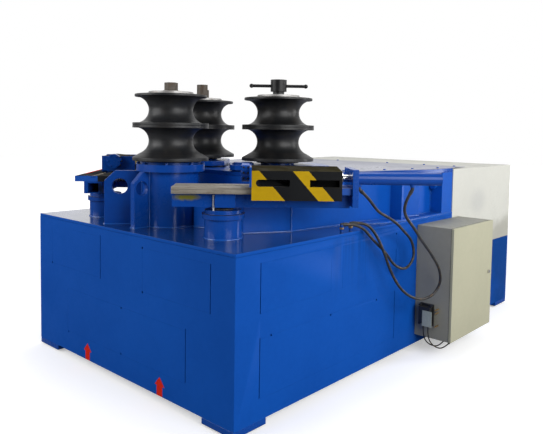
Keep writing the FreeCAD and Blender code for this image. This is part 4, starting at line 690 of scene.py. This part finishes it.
blackPlastic = plainFinish("blackPlastic", (0.012, 0.012, 0.013), (0.020, 0.020, 0.020), 0.45)
gearPlastic = plainFinish("gearPlastic", (0.50, 0.50, 0.48), (0.44, 0.44, 0.42), 0.5)
gapBlack = plainFinish("gapBlack", (0.004, 0.005, 0.008), (0.006, 0.007, 0.010), 0.8)
panelGreen = plainFinish("panelGreen", (0.42, 0.46, 0.40), (0.32, 0.36, 0.31), 0.5)

# Stripes run from a low to a high place along the guide, measured at the top; dust and wear are
# (strength, colour)
stripes = {"top": 1.415, "slope": 0.88, "face": 0.1745, "right": ((0.2, 0.509), (0.700, 0.792)),
           "left": ((0.600, 0.692), (0.883, 1.2)), "ruffle": (90.0, 0.004), "cloud": 6.0, "spread": 0.45,
           "yellow": {"Colour": (0.50, 0.315, 0.002), "Shade": (0.43, 0.265, 0.002)},
           "black": {"Colour": (0.0065, 0.0072, 0.0085), "Shade": (0.0045, 0.005, 0.006)},
           "dust": (0.8, (0.050, 0.040, 0.024)), "wear": (0.5, (0.06, 0.055, 0.045)), "depth": 0.00006}


def makeHazardFinish(side):
    # Slanted yellow stripes on black, along the face on the guide's right.
    material, shader, place = startMaterial(side + "HazardPaint", 0.5, specular=0.12)
    along, across, height = splitVector(guideVector(place, side))
    drop = product(difference(stripes["top"], height), stripes["slope"])
    slant = total(difference(along, drop), ruffleNode(place, *stripes["ruffle"]))
    spans = [product(isAbove(slant, low), isBelow(slant, high)) for low, high in stripes[side]]
    yellow = product(total(*spans), isBelow(across, -stripes["face"]), clamp=True)
    paint, dark = (groupNode("paintVariation", place, {"Cloud Scale": stripes["cloud"], **stripes[tone]})
                   for tone in ("yellow", "black"))
    edge = groupNode("edgeWear", place, {"Spread": stripes["spread"]})["Mask"]
    dust = groupNode("grime", place)["Dust"]
    mixed = blendColour(yellow, dark["Colour"], paint["Colour"])
    for mask, (strength, colour) in ((dust, stripes["dust"]), (edge, stripes["wear"])):
        mixed = blendColour(product(mask, strength), mixed, colour)
    finishWith(shader, mixed, 0.5, paint["Height"], paintLook["relief"], stripes["depth"])
    return material


# Along is from each guide's foot, and across is to the guide's left
slabLook = {"colour": (0.42, 0.385, 0.325), "shade": (0.21, 0.19, 0.158), "stain": (0.13, 0.095, 0.065),
            "oil": (0.012, 0.013, 0.016), "red": (0.70, 0.03, 0.02), "black": (0.006, 0.007, 0.010),
            "metal": {"right": 0.35, "left": 0.05}, "front": 0.0075, "blueFrom": {"right": 0.9, "left": 2.0},
            "top": 1.3122, "redAcross": 0.106, "redAlong": 0.25, "bluePart": -0.03, "sheen": 0.3,
            "planing": (5.0, 150.0, 150.0), "tone": (0.3, 0.7), "rough": (0.55, 0.38), "relief": 0.6,
            "depth": 0.00012, "stainScale": (6.0, 22.0, 22.0), "stainRange": (0.52, 0.68),
            "stainStrength": 0.55, "smearScale": 9.0, "smear": (0.42, 0.62, 0.9, 1.0)}


def makeSlabFinish(side):
    # Planed steel with painted ends; the left slab's top is darkened in smeared patches and has no sheen,
    # with a red line along its edge.
    metal = slabLook["metal"][side]
    material, shader, place = startMaterial(side + "SlabFinish", 0.45, metal, specular=slabLook["sheen"])
    local = guideVector(place, side)
    along, across, height = splitVector(local)
    planed = noiseNode(vectorNode("MULTIPLY", local, slabLook["planing"]), 1.0, 4.0, 0.65)
    mixed = blendColour(rangeNode(planed, *slabLook["tone"]), slabLook["shade"], slabLook["colour"])
    stain = noiseNode(vectorNode("MULTIPLY", local, slabLook["stainScale"]), 1.0, 5.0, 0.7)
    stained = product(rangeNode(stain, *slabLook["stainRange"]), slabLook["stainStrength"])
    mixed = blendColour(stained, mixed, slabLook["stain"])
    if side == "left":
        top = isAbove(height, slabLook["top"])
        smear = rangeNode(noiseNode(place, slabLook["smearScale"], 4.0), *slabLook["smear"])
        mixed = blendColour(product(top, smear), mixed, slabLook["oil"])
        strip = product(isAbove(across, slabLook["redAcross"]), isAbove(along, slabLook["redAlong"]))
        mixed = blendColour(product(strip, top), mixed, slabLook["red"])
    ends = total(isBelow(along, slabLook["front"]), isAbove(along, slabLook["blueFrom"][side]), clamp=True)
    mixed = blendColour(ends, mixed, blueTone["colour"])
    if side == "left":
        black = product(ends, isBelow(across, slabLook["bluePart"]))
        mixed = blendColour(black, mixed, slabLook["black"])
        dull = product(difference(1.0, top), slabLook["sheen"])
        setInput(shader["Specular IOR Level"], dull)
    setInput(shader["Metallic"], product(difference(1.0, ends), metal))
    rough = rangeNode(planed, *slabLook["tone"], *slabLook["rough"])
    finishWith(shader, mixed, rough, planed, slabLook["relief"], slabLook["depth"])
    return material


hazardPaint = {side: makeHazardFinish(side) for side in guides}
slabFinish = {side: makeSlabFinish(side) for side in guides}
print("finishes made")


# Hoses and leads; each route repeats the points of its tube

cords = {
    "rodSideHose": {
        "node": "rod_side_hose", "diameter": 0.019, "length": 1.81, "points": (
            (1.0315, -0.82969, 1.048), (1.0785, -0.74828, 1.048), (1.112, -0.624, 0.922),
            (1.118, -0.490, 0.833), (1.123, -0.381, 0.721), (1.145, -0.252, 0.675), (1.158, -0.158, 0.757),
            (1.145, -0.179, 0.880), (1.159, -0.328, 0.965), (1.182, -0.452, 1.030), (1.191, -0.578, 1.085),
            (1.194, -0.720, 1.136), (1.21868, -0.8625, 1.23334), (1.22434, -0.94354, 1.27653))},
    "capSideHose": {
        "node": "cap_side_hose", "diameter": 0.019, "length": 2.22, "points": (
            (1.0365, -0.73669, 1.048), (1.0595, -0.69685, 1.048), (1.097, -0.640, 1.018),
            (1.140, -0.577, 0.897), (1.169, -0.488, 0.684), (1.197, -0.371, 0.542), (1.228, -0.207, 0.465),
            (1.253, -0.084, 0.471), (1.275, -0.030, 0.516), (1.295, -0.017, 0.586), (1.305, -0.064, 0.683),
            (1.316, -0.185, 0.783), (1.339, -0.325, 0.873), (1.370, -0.479, 0.956), (1.422, -0.647, 1.044),
            (1.411, -0.766, 1.143), (1.42378, -0.78119, 1.22318), (1.4457, -0.76584, 1.27351))},
    "firstLead": {
        "node": "first_lead", "diameter": 0.009, "length": 0.30, "points": (
            (1.149, 0.016, 0.220), (1.149, 0.016, 0.162), (1.15863, 0.02878, 0.104),
            (1.18631, 0.06552, 0.062), (1.22669, 0.11912, 0.04731), (1.25136, 0.15188, 0.08832))},
    "secondLead": {
        "node": "second_lead", "diameter": 0.009, "length": 0.288, "points": (
            (1.188, 0.016, 0.220), (1.188, 0.016, 0.162), (1.19853, 0.02523, 0.104), (1.2286, 0.0516, 0.062),
            (1.27387, 0.0913, 0.04731), (1.30471, 0.11834, 0.08832))}}
cordMesh = {"order": 3, "steps": 10, "fineness": 5}


def makeCord(name, values):
    piece, spline = curveShape("NURBS", values["points"], values["diameter"] / 2, cordMesh["fineness"])
    spline.order_u = cordMesh["order"]
    spline.use_endpoint_u = True
    spline.resolution_u = cordMesh["steps"]
    piece.name = name
    piece.data.name = name
    piece.data.materials.append(hoseRubber)
    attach(piece, "machine")
    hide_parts(values["node"])


for name, values in cords.items():
    makeCord(name, values)
print("hoses and leads laid")


# Base box

seams = {"depth": 0.0007, "width": 0.0011, "slitWidth": 0.006, "slitDepth": 0.008, "hole": 0.012,
         "cut": 0.02, "face": {"end": 1.850, "side": 1.060}}
# Plates are (low across, low z, high across, high z), slits (across, low z, high z) and holes (across, z)
frontSeams = {
    "plates": ((-0.877, 0.652, -0.227, 0.928), (0.243, 0.648, 0.867, 0.919), (-0.655, 0.195, 0.660, 0.505)),
    "slits": ((-0.227, 0.648, 0.933), (0.867, 0.648, 0.918), (0.659, 0.205, 0.512)),
    "holes": ((-0.877, 0.655), (0.243, 0.919), (0.245, 0.646), (0.016, 0.500), (0.013, 0.200),
              (-0.645, 0.189))}
sideSeams = {
    "plates": ((-1.659, 0.649, -1.020, 0.924), (-0.900, 0.649, -0.251, 0.924),
               (-1.659, 0.170, -0.256, 0.508)),
    "slits": ((-1.659, 0.649, 0.924), (-1.659, 0.177, 0.511), (-0.251, 0.724, 0.808),
              (-0.256, 0.163, 0.509)),
    "holes": ((-1.569, 0.508), (-1.020, 0.501), (-0.252, 0.924), (-0.495, 0.493))}


def seamCutters(marks, place):
    # place(across, out, z) gives a point; thin blocks sunk in a face make its seams.
    cutters = []

    def addBar(low, high, width, depth):
        corners = (place(low[0] - width / 2, -depth, low[1] - width / 2),
                   place(high[0] + width / 2, seams["cut"], high[1] + width / 2))
        size = [abs(b - a) for a, b in zip(*corners)]
        cutters.append(blockShape(size, [(a + b) / 2 for a, b in zip(*corners)]))

    for left, low, right, high in marks["plates"]:
        for start, end in (((left, low), (right, low)), ((left, high), (right, high)),
                           ((left, low), (left, high)), ((right, low), (right, high))):
            addBar(start, end, seams["width"], seams["depth"])
    for across, low, high in marks["slits"]:
        addBar((across, low), (across, high), seams["slitWidth"], seams["slitDepth"])
    for middle in marks["holes"]:
        addBar(middle, middle, seams["hole"], seams["slitDepth"])
    return cutters


def cutFrontSeams(piece):
    cutAway(piece, seamCutters(frontSeams, lambda a, out, z: (a, -seams["face"]["end"] - out, z)))


def cutSideSeams(piece):
    for hand in (1, -1):
        cutAway(piece, seamCutters(sideSeams, lambda a, out, z: (hand * (seams["face"]["side"] + out), a, z)))


rearDoor = {"face": 1.85, "x": (-0.47, 0.47), "z": (0.75, 1.285), "groove": 0.004}
airSlots = {"count": 8, "first": 0.99, "pitch": 0.026, "size": (0.30, 0.014, 0.007), "x": (-0.235, 0.235)}


def cutHood(piece):
    # The outline of the rear door and its two rows of air slots.
    groove, face = rearDoor["groove"], rearDoor["face"]
    low, high = rearDoor["z"]
    width = rearDoor["x"][1] - rearDoor["x"][0]
    cutters = [blockShape((groove, groove, high - low), (x, face, (low + high) / 2)) for x in rearDoor["x"]]
    cutters += [blockShape((width + groove, groove, groove), (0, face, z)) for z in rearDoor["z"]]
    for i in range(airSlots["count"]):
        level = airSlots["first"] + i * airSlots["pitch"]
        cutters += [blockShape(airSlots["size"], (x, face, level)) for x in airSlots["x"]]
    cutAway(piece, cutters)


# Each piece's finish, the width of its rounded edges and what is cut in it
basePieces = {
    "end_panels": (frontPaint, 0.0015, cutFrontSeams), "side_panels": (sidePaint, 0.0015, cutSideSeams),
    "deck_plate": (deckPaint, 0.003, None), "base_feet": (bluePaint, 0.004, None),
    "rear_hood": (hoodPaint, 0.0025, cutHood)}
for node, (finish, width, shape) in basePieces.items():
    roundedCopy(node, finish, width, shape)
looksAlong = 0.5  # the least part of a face's normal along the axis that it looks to
deck = bpy.data.objects["deckPlate"]
paintFaces(deck, sidePaint, lambda middle, normal: abs(normal.x) > looksAlong)
paintFaces(deck, frontPaint, lambda middle, normal: abs(normal.y) > looksAlong)
print("base box done")


# Raised body, housing, arms, cabinet and rollers, with the width of their rounded edges

roundedPieces = {
    "body_walls": (bodyPaint, 0.0025), "body_top_plate": (bluePaint, 0.003),
    "top_cover": (coverSheetPaint, 0.0008), "main_housing": (bluePaint, 0.003),
    "lifting_lugs": (bluePaint, 0.004), "arm_pins": (bluePaint, 0.002), "support_posts": (bluePaint, 0.003),
    "jack_screws": (rustySteel, 0.001), "guide_beams": (beamPaint, 0.002),
    "slide_plates": (slabFinish["right"], 0.0015), "guide_barrels": (bluePaint, 0.002),
    "right_arm": (bluePaint, 0.003), "left_arm": (bluePaint, 0.003), "right_carriage": (bluePaint, 0.002),
    "left_carriage": (bluePaint, 0.002), "right_rod": (brightSteel, 0.001), "left_rod": (brightSteel, 0.001),
    "cabinet_case": (cabinetCasePaint, 0.0012), "cabinet_door": (cabinetPaint, 0.003),
    "door_lock": (brightSteel, 0.001), "cabinet_connector": (blackPlastic, 0.001),
    "hose_fittings": (blackPlastic, 0.001), "main_nut": (rustySteel, 0.002), "left_nut": (rustySteel, 0.002),
    "right_nut": (blackPaint, 0.002), "t_bar": (blackPaint, 0.001)}
for side in rollers:
    roundedPieces.update({
        side + "_lower_die": (rollerSteel[side], 0.002), side + "_upper_die": (rollerSteel[side], 0.002),
        side + "_washer": (washerSteel[side], 0.0015), side + "_spindle": (rollerSteel[side], 0.0015)})
for node, (finish, width) in roundedPieces.items():
    roundedCopy(node, finish, width)

# Pieces that keep the mesh of their CAD node
plainPieces = {
    "base_frame": bluePaint, "main_drive": tankPaint, "right_arm_barrel": bluePaint,
    "left_arm_barrel": bluePaint, "right_arm_rod": brightSteel, "left_arm_rod": brightSteel,
    "hydraulic_tank": tankPaint, "pump_motor": tankPaint, "valve_block": machinedSteel,
    "control_gear": gearPlastic, "cover_screws": screwPaint}
for node, finish in plainPieces.items():
    nodes[node].data.materials.clear()
    nodes[node].data.materials.append(finish)
print("machine pieces done")


# Guide units: the covers' sloping tops, the slabs' finishes and the painted shade behind the slots

coverShape = {"rise": 0.019, "level": 1.405, "across": 0.030, "edge": 0.002}
carriageGap = {"across": -0.07, "along": 0.466}
frontScrewsBefore = -1.64


def raiseTop(side):
    def shape(piece):
        # The top of the cover rises towards the guide's left.
        for corner in piece.data.vertices:
            across = fromGuide(side, corner.co)[1]
            corner.select = corner.co.z > coverShape["level"] and across > coverShape["across"]
        for line in piece.data.edges:
            line.select = all(piece.data.vertices[i].select for i in line.vertices)
        for face in piece.data.polygons:
            face.select = False
        startEdit(piece, selectAll=False)
        bpy.ops.transform.translate(value=(0, 0, coverShape["rise"]))
        endEdit()
    return shape


def inGap(side, place):
    along, across = fromGuide(side, place)
    return across < carriageGap["across"] and along > carriageGap["along"]


for side in guides:
    cover = roundedCopy(side + "_cover", hazardPaint[side], coverShape["edge"], raiseTop(side))
    paintFaces(cover, coverTopPaint, lambda middle, normal: normal.z > looksAlong)
    # Painted shade: the carriage faces behind the cover's slots are made black, as the inside of the cover
    # lies in shadow.
    paintFaces(bpy.data.objects[side + "Carriage"], gapBlack, lambda middle, normal: inGap(side, middle))
paintFaces(bpy.data.objects["slidePlates"], slabFinish["left"], lambda middle, normal: middle.x < 0)
paintFaces(bpy.data.objects["jackScrews"], studSteel, lambda middle, normal: middle.y < frontScrewsBefore)


def guideBlocks(values):
    # One block on each guide, between two places along it.
    start, end = values["along"]
    return [blockShape((end - start, values["width"], values["height"]),
                       onGuide(side, (start + end) / 2, 0, values["level"]), (0, 0, guides[side][0]),
                       values["chamfer"]) for side in guides]


floorStrip = {"along": (0.008, 1.040), "width": 0.071, "level": 1.1955, "height": 0.007, "chamfer": 0.001}
plug = {"along": (0.0055, 0.0105), "width": 0.0358, "level": 1.308, "height": 0.0118, "chamfer": 0.0006}
settle(joinPieces(guideBlocks(floorStrip)), "beamFloors", "machine", beamPaint)
settle(joinPieces(guideBlocks(plug)), "keywayPlugs", "machine", bluePaint)

sideBolts = {"along": (0.421, 0.446), "turns": (-34, 0, 34), "middle": (-0.050, 1.398), "reach": 0.0535,
             "radius": 0.0062, "head": 0.006, "sides": 6, "chamfer": 0.0008}
for side in guides:
    heads = []
    for along in sideBolts["along"]:
        for turn in sideBolts["turns"]:
            across = sideBolts["middle"][0] - sideBolts["reach"] * math.cos(math.radians(turn))
            height = sideBolts["middle"][1] + sideBolts["reach"] * math.sin(math.radians(turn))
            heads.append(rodShape(sideBolts["radius"], sideBolts["head"],
                                  onGuide(side, along, across, height), sideBolts["sides"],
                                  sideBolts["chamfer"], (90 - turn, 0, guides[side][0])))
    settle(joinPieces(heads), side + "NoseBolts", side + "_slide", darkSteel)
print("guide units done")


# Weld beads along the joints of the heavy plates

# A ring is (radius, steps), and a lug is (angle, (start, end) from the housing's middle)
beads = {"radius": 0.0056, "fineness": 1, "step": 0.0045, "laps": (0.80, 1.12), "unevenness": (0.9, 1.12),
         "level": 1.0015, "wallLevel": 1.0125, "housing": (0.1905, 72), "post": (0.1145, 48), "upright": 1.19}
lugs = {"half": 0.021, "top": 1.362, "front": (270, (0.190, 0.308)), "left": (228.7, (0.190, 0.440))}
posts = {"x": 0.640, "y": -1.550}
tacks = {"x": 0.957, "y": 0.438, "length": 0.022, "levels": (1.045, 1.10, 1.155, 1.21, 1.265)}
apronLine = ((0.205, -1.165), (0.205, -1.415), (0.625, -1.367), (0.780, -1.087))
skirtLine = ((0.780, -1.087), (0.840, -0.600), (1.0, -0.310), (1.055, -0.05), (1.055, 0.62))
wallLine = ((0.84, -0.6), (0.935, -0.13), (1.0, 0.17), (0.955, 0.19), (0.955, 0.44), (1.055, 0.44))


def ringLine(centre, radius, steps):
    turns = [2 * math.pi * i / steps for i in range(steps + 1)]
    return [(centre[0] + radius * math.cos(turn), centre[1] + radius * math.sin(turn), beads["level"])
            for turn in turns]


def lugLines(angle, reach):
    # The foot of a lug on both sides and its end, and its joint with the housing.
    turn = math.radians(angle)
    half = lugs["half"]
    middle = rollers["main"]["centre"]
    foot = [(middle[0] + (out * math.cos(turn) - across * math.sin(turn)),
             middle[1] + (out * math.sin(turn) + across * math.cos(turn)), beads["level"])
            for out, across in ((reach[0], half), (reach[1], half), (reach[1], -half), (reach[0], -half))]
    return [foot] + [[corner, (*corner[:2], lugs["top"])] for corner in (foot[0], foot[3])]


def makeBead(line):
    # A row of small overlapping laps along the line.
    places = [Vector(line[0])]
    for start, end in zip(line, line[1:]):
        start, end = Vector(start), Vector(end)
        count = max(1, round((end - start).length / beads["step"]))
        places += [start.lerp(end, (i + 1) / count) for i in range(count)]
    piece, spline = curveShape("POLY", places, beads["radius"], beads["fineness"])
    for i, point in enumerate(spline.points):
        point.radius = beads["laps"][i % 2] * random.uniform(*beads["unevenness"])
    makeActive(piece)
    bpy.ops.object.convert(target="MESH")
    return bpy.context.object


beadLines = [ringLine(rollers["main"]["centre"], *beads["housing"])]
beadLines += lugLines(*lugs["front"]) + lugLines(*lugs["left"])
for hand in (1, -1):
    beadLines.append(ringLine((hand * posts["x"], posts["y"]), *beads["post"]))
    for line, level in ((apronLine, beads["level"]), (skirtLine, beads["level"]),
                        (wallLine, beads["wallLevel"])):
        beadLines.append([(hand * x, y, level) for x, y in line])
    tackFoot = (hand * tacks["x"], tacks["y"])
    beadLines += [[(*tackFoot, level), (*tackFoot, level + tacks["length"])] for level in tacks["levels"]]
    corner = (hand * apronLine[-1][0], apronLine[-1][1])
    beadLines.append([(*corner, beads["level"]), (*corner, beads["upright"])])
weld = joinPieces([makeBead(line) for line in beadLines])
makeActive(weld)
bpy.ops.object.shade_smooth()
settle(weld, "weldBeads", "machine", weldHighlightPaint)
print("welds laid")


# Collars on the deck fittings, seams of the posts, the door's gasket and the connector's panel

collars = {"places": ((1.014, -0.860), (1.019, -0.767)), "level": 1.017, "height": 0.013, "radius": 0.0145,
           "sides": 6, "chamfer": 0.0012}
rings = [rodShape(collars["radius"], collars["height"], (hand * x, y, collars["level"]), collars["sides"],
                  collars["chamfer"]) for hand in (1, -1) for x, y in collars["places"]]
settle(joinPieces(rings), "fittingCollars", "machine", brass)

postSeams = {"edges": ((0.1274, 1.1462), (0.1144, 1.1138)),  # radius, z
             "height": 0.0030, "depth": 0.0030, "steps": 64}
rings = []
for hand in (1, -1):
    for radius, level in postSeams["edges"]:
        inner, top = radius - postSeams["depth"], level + postSeams["height"]
        rings.append(spunShape([(inner, level), (radius, level), (radius, top), (inner, top), (inner, level)],
                               (hand * posts["x"], posts["y"], 0), postSeams["steps"]))
settle(joinPieces(rings), "postSeams", "machine", gapBlack)

gasket = {"x": 1.3336, "thickness": 0.0020, "width": 0.0018, "y": (0.05, 0.745), "z": (0.12, 0.958)}
thin, width = gasket["thickness"], gasket["width"]
middleY, middleZ = sum(gasket["y"]) / 2, sum(gasket["z"]) / 2
strips = [blockShape((thin, width, gasket["z"][1] - gasket["z"][0] + width), (gasket["x"], y, middleZ))
          for y in gasket["y"]]
strips += [blockShape((thin, gasket["y"][1] - gasket["y"][0], width), (gasket["x"], middleY, z))
           for z in gasket["z"]]
settle(joinPieces(strips), "doorGasket", "machine", gapBlack)

socket = {"panel": (0.076, 0.005, 0.117), "middle": (1.188, -0.0050, 0.2765), "panelChamfer": 0.0012,
          "face": 0.0505, "peg": 0.0055, "reach": 0.056, "pegSides": 16, "pegChamfer": 0.001,
          "pegX": 1.250, "pegLevels": (0.352, 0.326, 0.228)}
settle(blockShape(socket["panel"], socket["middle"], chamfer=socket["panelChamfer"]), "connectorPanel",
       "machine", panelGreen)
pegs = [rodShape(socket["peg"], socket["reach"], (socket["pegX"], socket["face"], level),
                 socket["pegSides"], socket["pegChamfer"], (90, 0, 0)) for level in socket["pegLevels"]]
settle(joinPieces(pegs), "connectorPegs", "machine", brass)

fittingFootBelow, spindleEndAbove = 1.030, 1.897
paintFaces(bpy.data.objects["hoseFittings"], bluePaint, lambda middle, normal: middle.z < fittingFootBelow)
for side in rollers:
    paintFaces(bpy.data.objects[side + "Spindle"], rustySteel,
               lambda middle, normal: middle.z > spindleEndAbove)
print("small pieces placed")


# Floor and light

studio = {
    "floor": {"size": 60, "colour": (0.80, 0.80, 0.80), "shade": (0.79, 0.79, 0.79),
              "cloud": 0.6, "hidden": (0.26, 0.26, 0.27), "glow": 0.40, "farGlow": 1.0, "fadeStart": 3.2,
              "fadeEnd": 7.5},
    "world": {"toward": (-0.72, 0.69, 0.05), "low": 0.05, "high": 1.0, "start": 0.25, "end": 0.95,
              "topStart": 0.2, "top": 0.12},
    "lamps": {  # place, target, width, height, watts
        "front": ((-2.6, -6.4, 3.4), (0.0, -1.4, 0.7), 5.6, 4.2, 285),
        "side": ((6.2, -2.2, 3.0), (0.9, -0.2, 0.7), 4.0, 4.0, 275),
        "edge": ((5.4, 0.7, 3.0), (0.2, -1.0, 1.6), 1.2, 1.2, 60),
        "strip": ((3.4, 2.9, 2.1), (0.3, -1.2, 1.2), 1.0, 3.0, 65),
        "top": ((-0.4, 0.2, 5.6), (0.0, -0.8, 1.0), 3.0, 2.4, 100)}}

clearSelection()
look = studio["floor"]
bpy.ops.mesh.primitive_plane_add(size=look["size"], location=(0, 0, 0))
floor = bpy.context.object
floor.name = "studioFloor"
material, shader, place = startMaterial("floorFinish", 0.8, specular=0.0)
seen = addNode(place.id_data, "LightPath").outputs["Is Camera Ray"]
values = {"Colour": look["colour"], "Shade": look["shade"], "Cloud Scale": look["cloud"]}
grain = groupNode("paintVariation", place, values)
setInput(shader["Base Color"], blendColour(seen, look["hidden"], grain["Colour"]))
setInput(shader["Emission Color"], (1.0, 1.0, 1.0))
glow = rangeNode(vectorNode("LENGTH", place), look["fadeStart"], look["fadeEnd"],
                 look["glow"], look["farGlow"])
setInput(shader["Emission Strength"], product(seen, glow))
floor.data.materials.append(material)

for name, (place, target, width, height, power) in studio["lamps"].items():
    bpy.ops.object.light_add(type="AREA", location=place)
    lamp = bpy.context.object
    lamp.name = name + "Lamp"
    lamp.data.shape = "RECTANGLE"
    lamp.data.size = width
    lamp.data.size_y = height
    lamp.data.energy = power
    lamp.rotation_euler = (Vector(target) - Vector(place)).to_track_quat("-Z", "Y").to_euler()

# The surroundings are bright behind and to the left, and dark on the viewer's side.
bpy.context.scene.view_settings.view_transform = "Standard"
world = bpy.data.worlds.new("studioWorld")
bpy.context.scene.world = world
world.use_nodes = True
tree = world.node_tree
sky = studio["world"]
direction = addNode(tree, "TexCoord").outputs["Generated"]
toward = vectorNode("DOT_PRODUCT", direction, sky["toward"])
glow = rangeNode(toward, sky["start"], sky["end"], sky["low"], sky["high"],
                 interpolation_type="SMOOTHSTEP")
overhead = rangeNode(splitVector(direction)["Z"], sky["topStart"], 1.0)
glow = total(glow, product(overhead, sky["top"]))
seen = addNode(tree, "LightPath").outputs["Is Camera Ray"]
background = tree.nodes["Background"].inputs
setInput(background["Strength"], addNode(tree, "Mix", {"Factor": seen, "A": glow, "B": 1.0}).outputs[0])
setInput(background["Color"], (1.0, 1.0, 1.0))
print("floor and lights set")
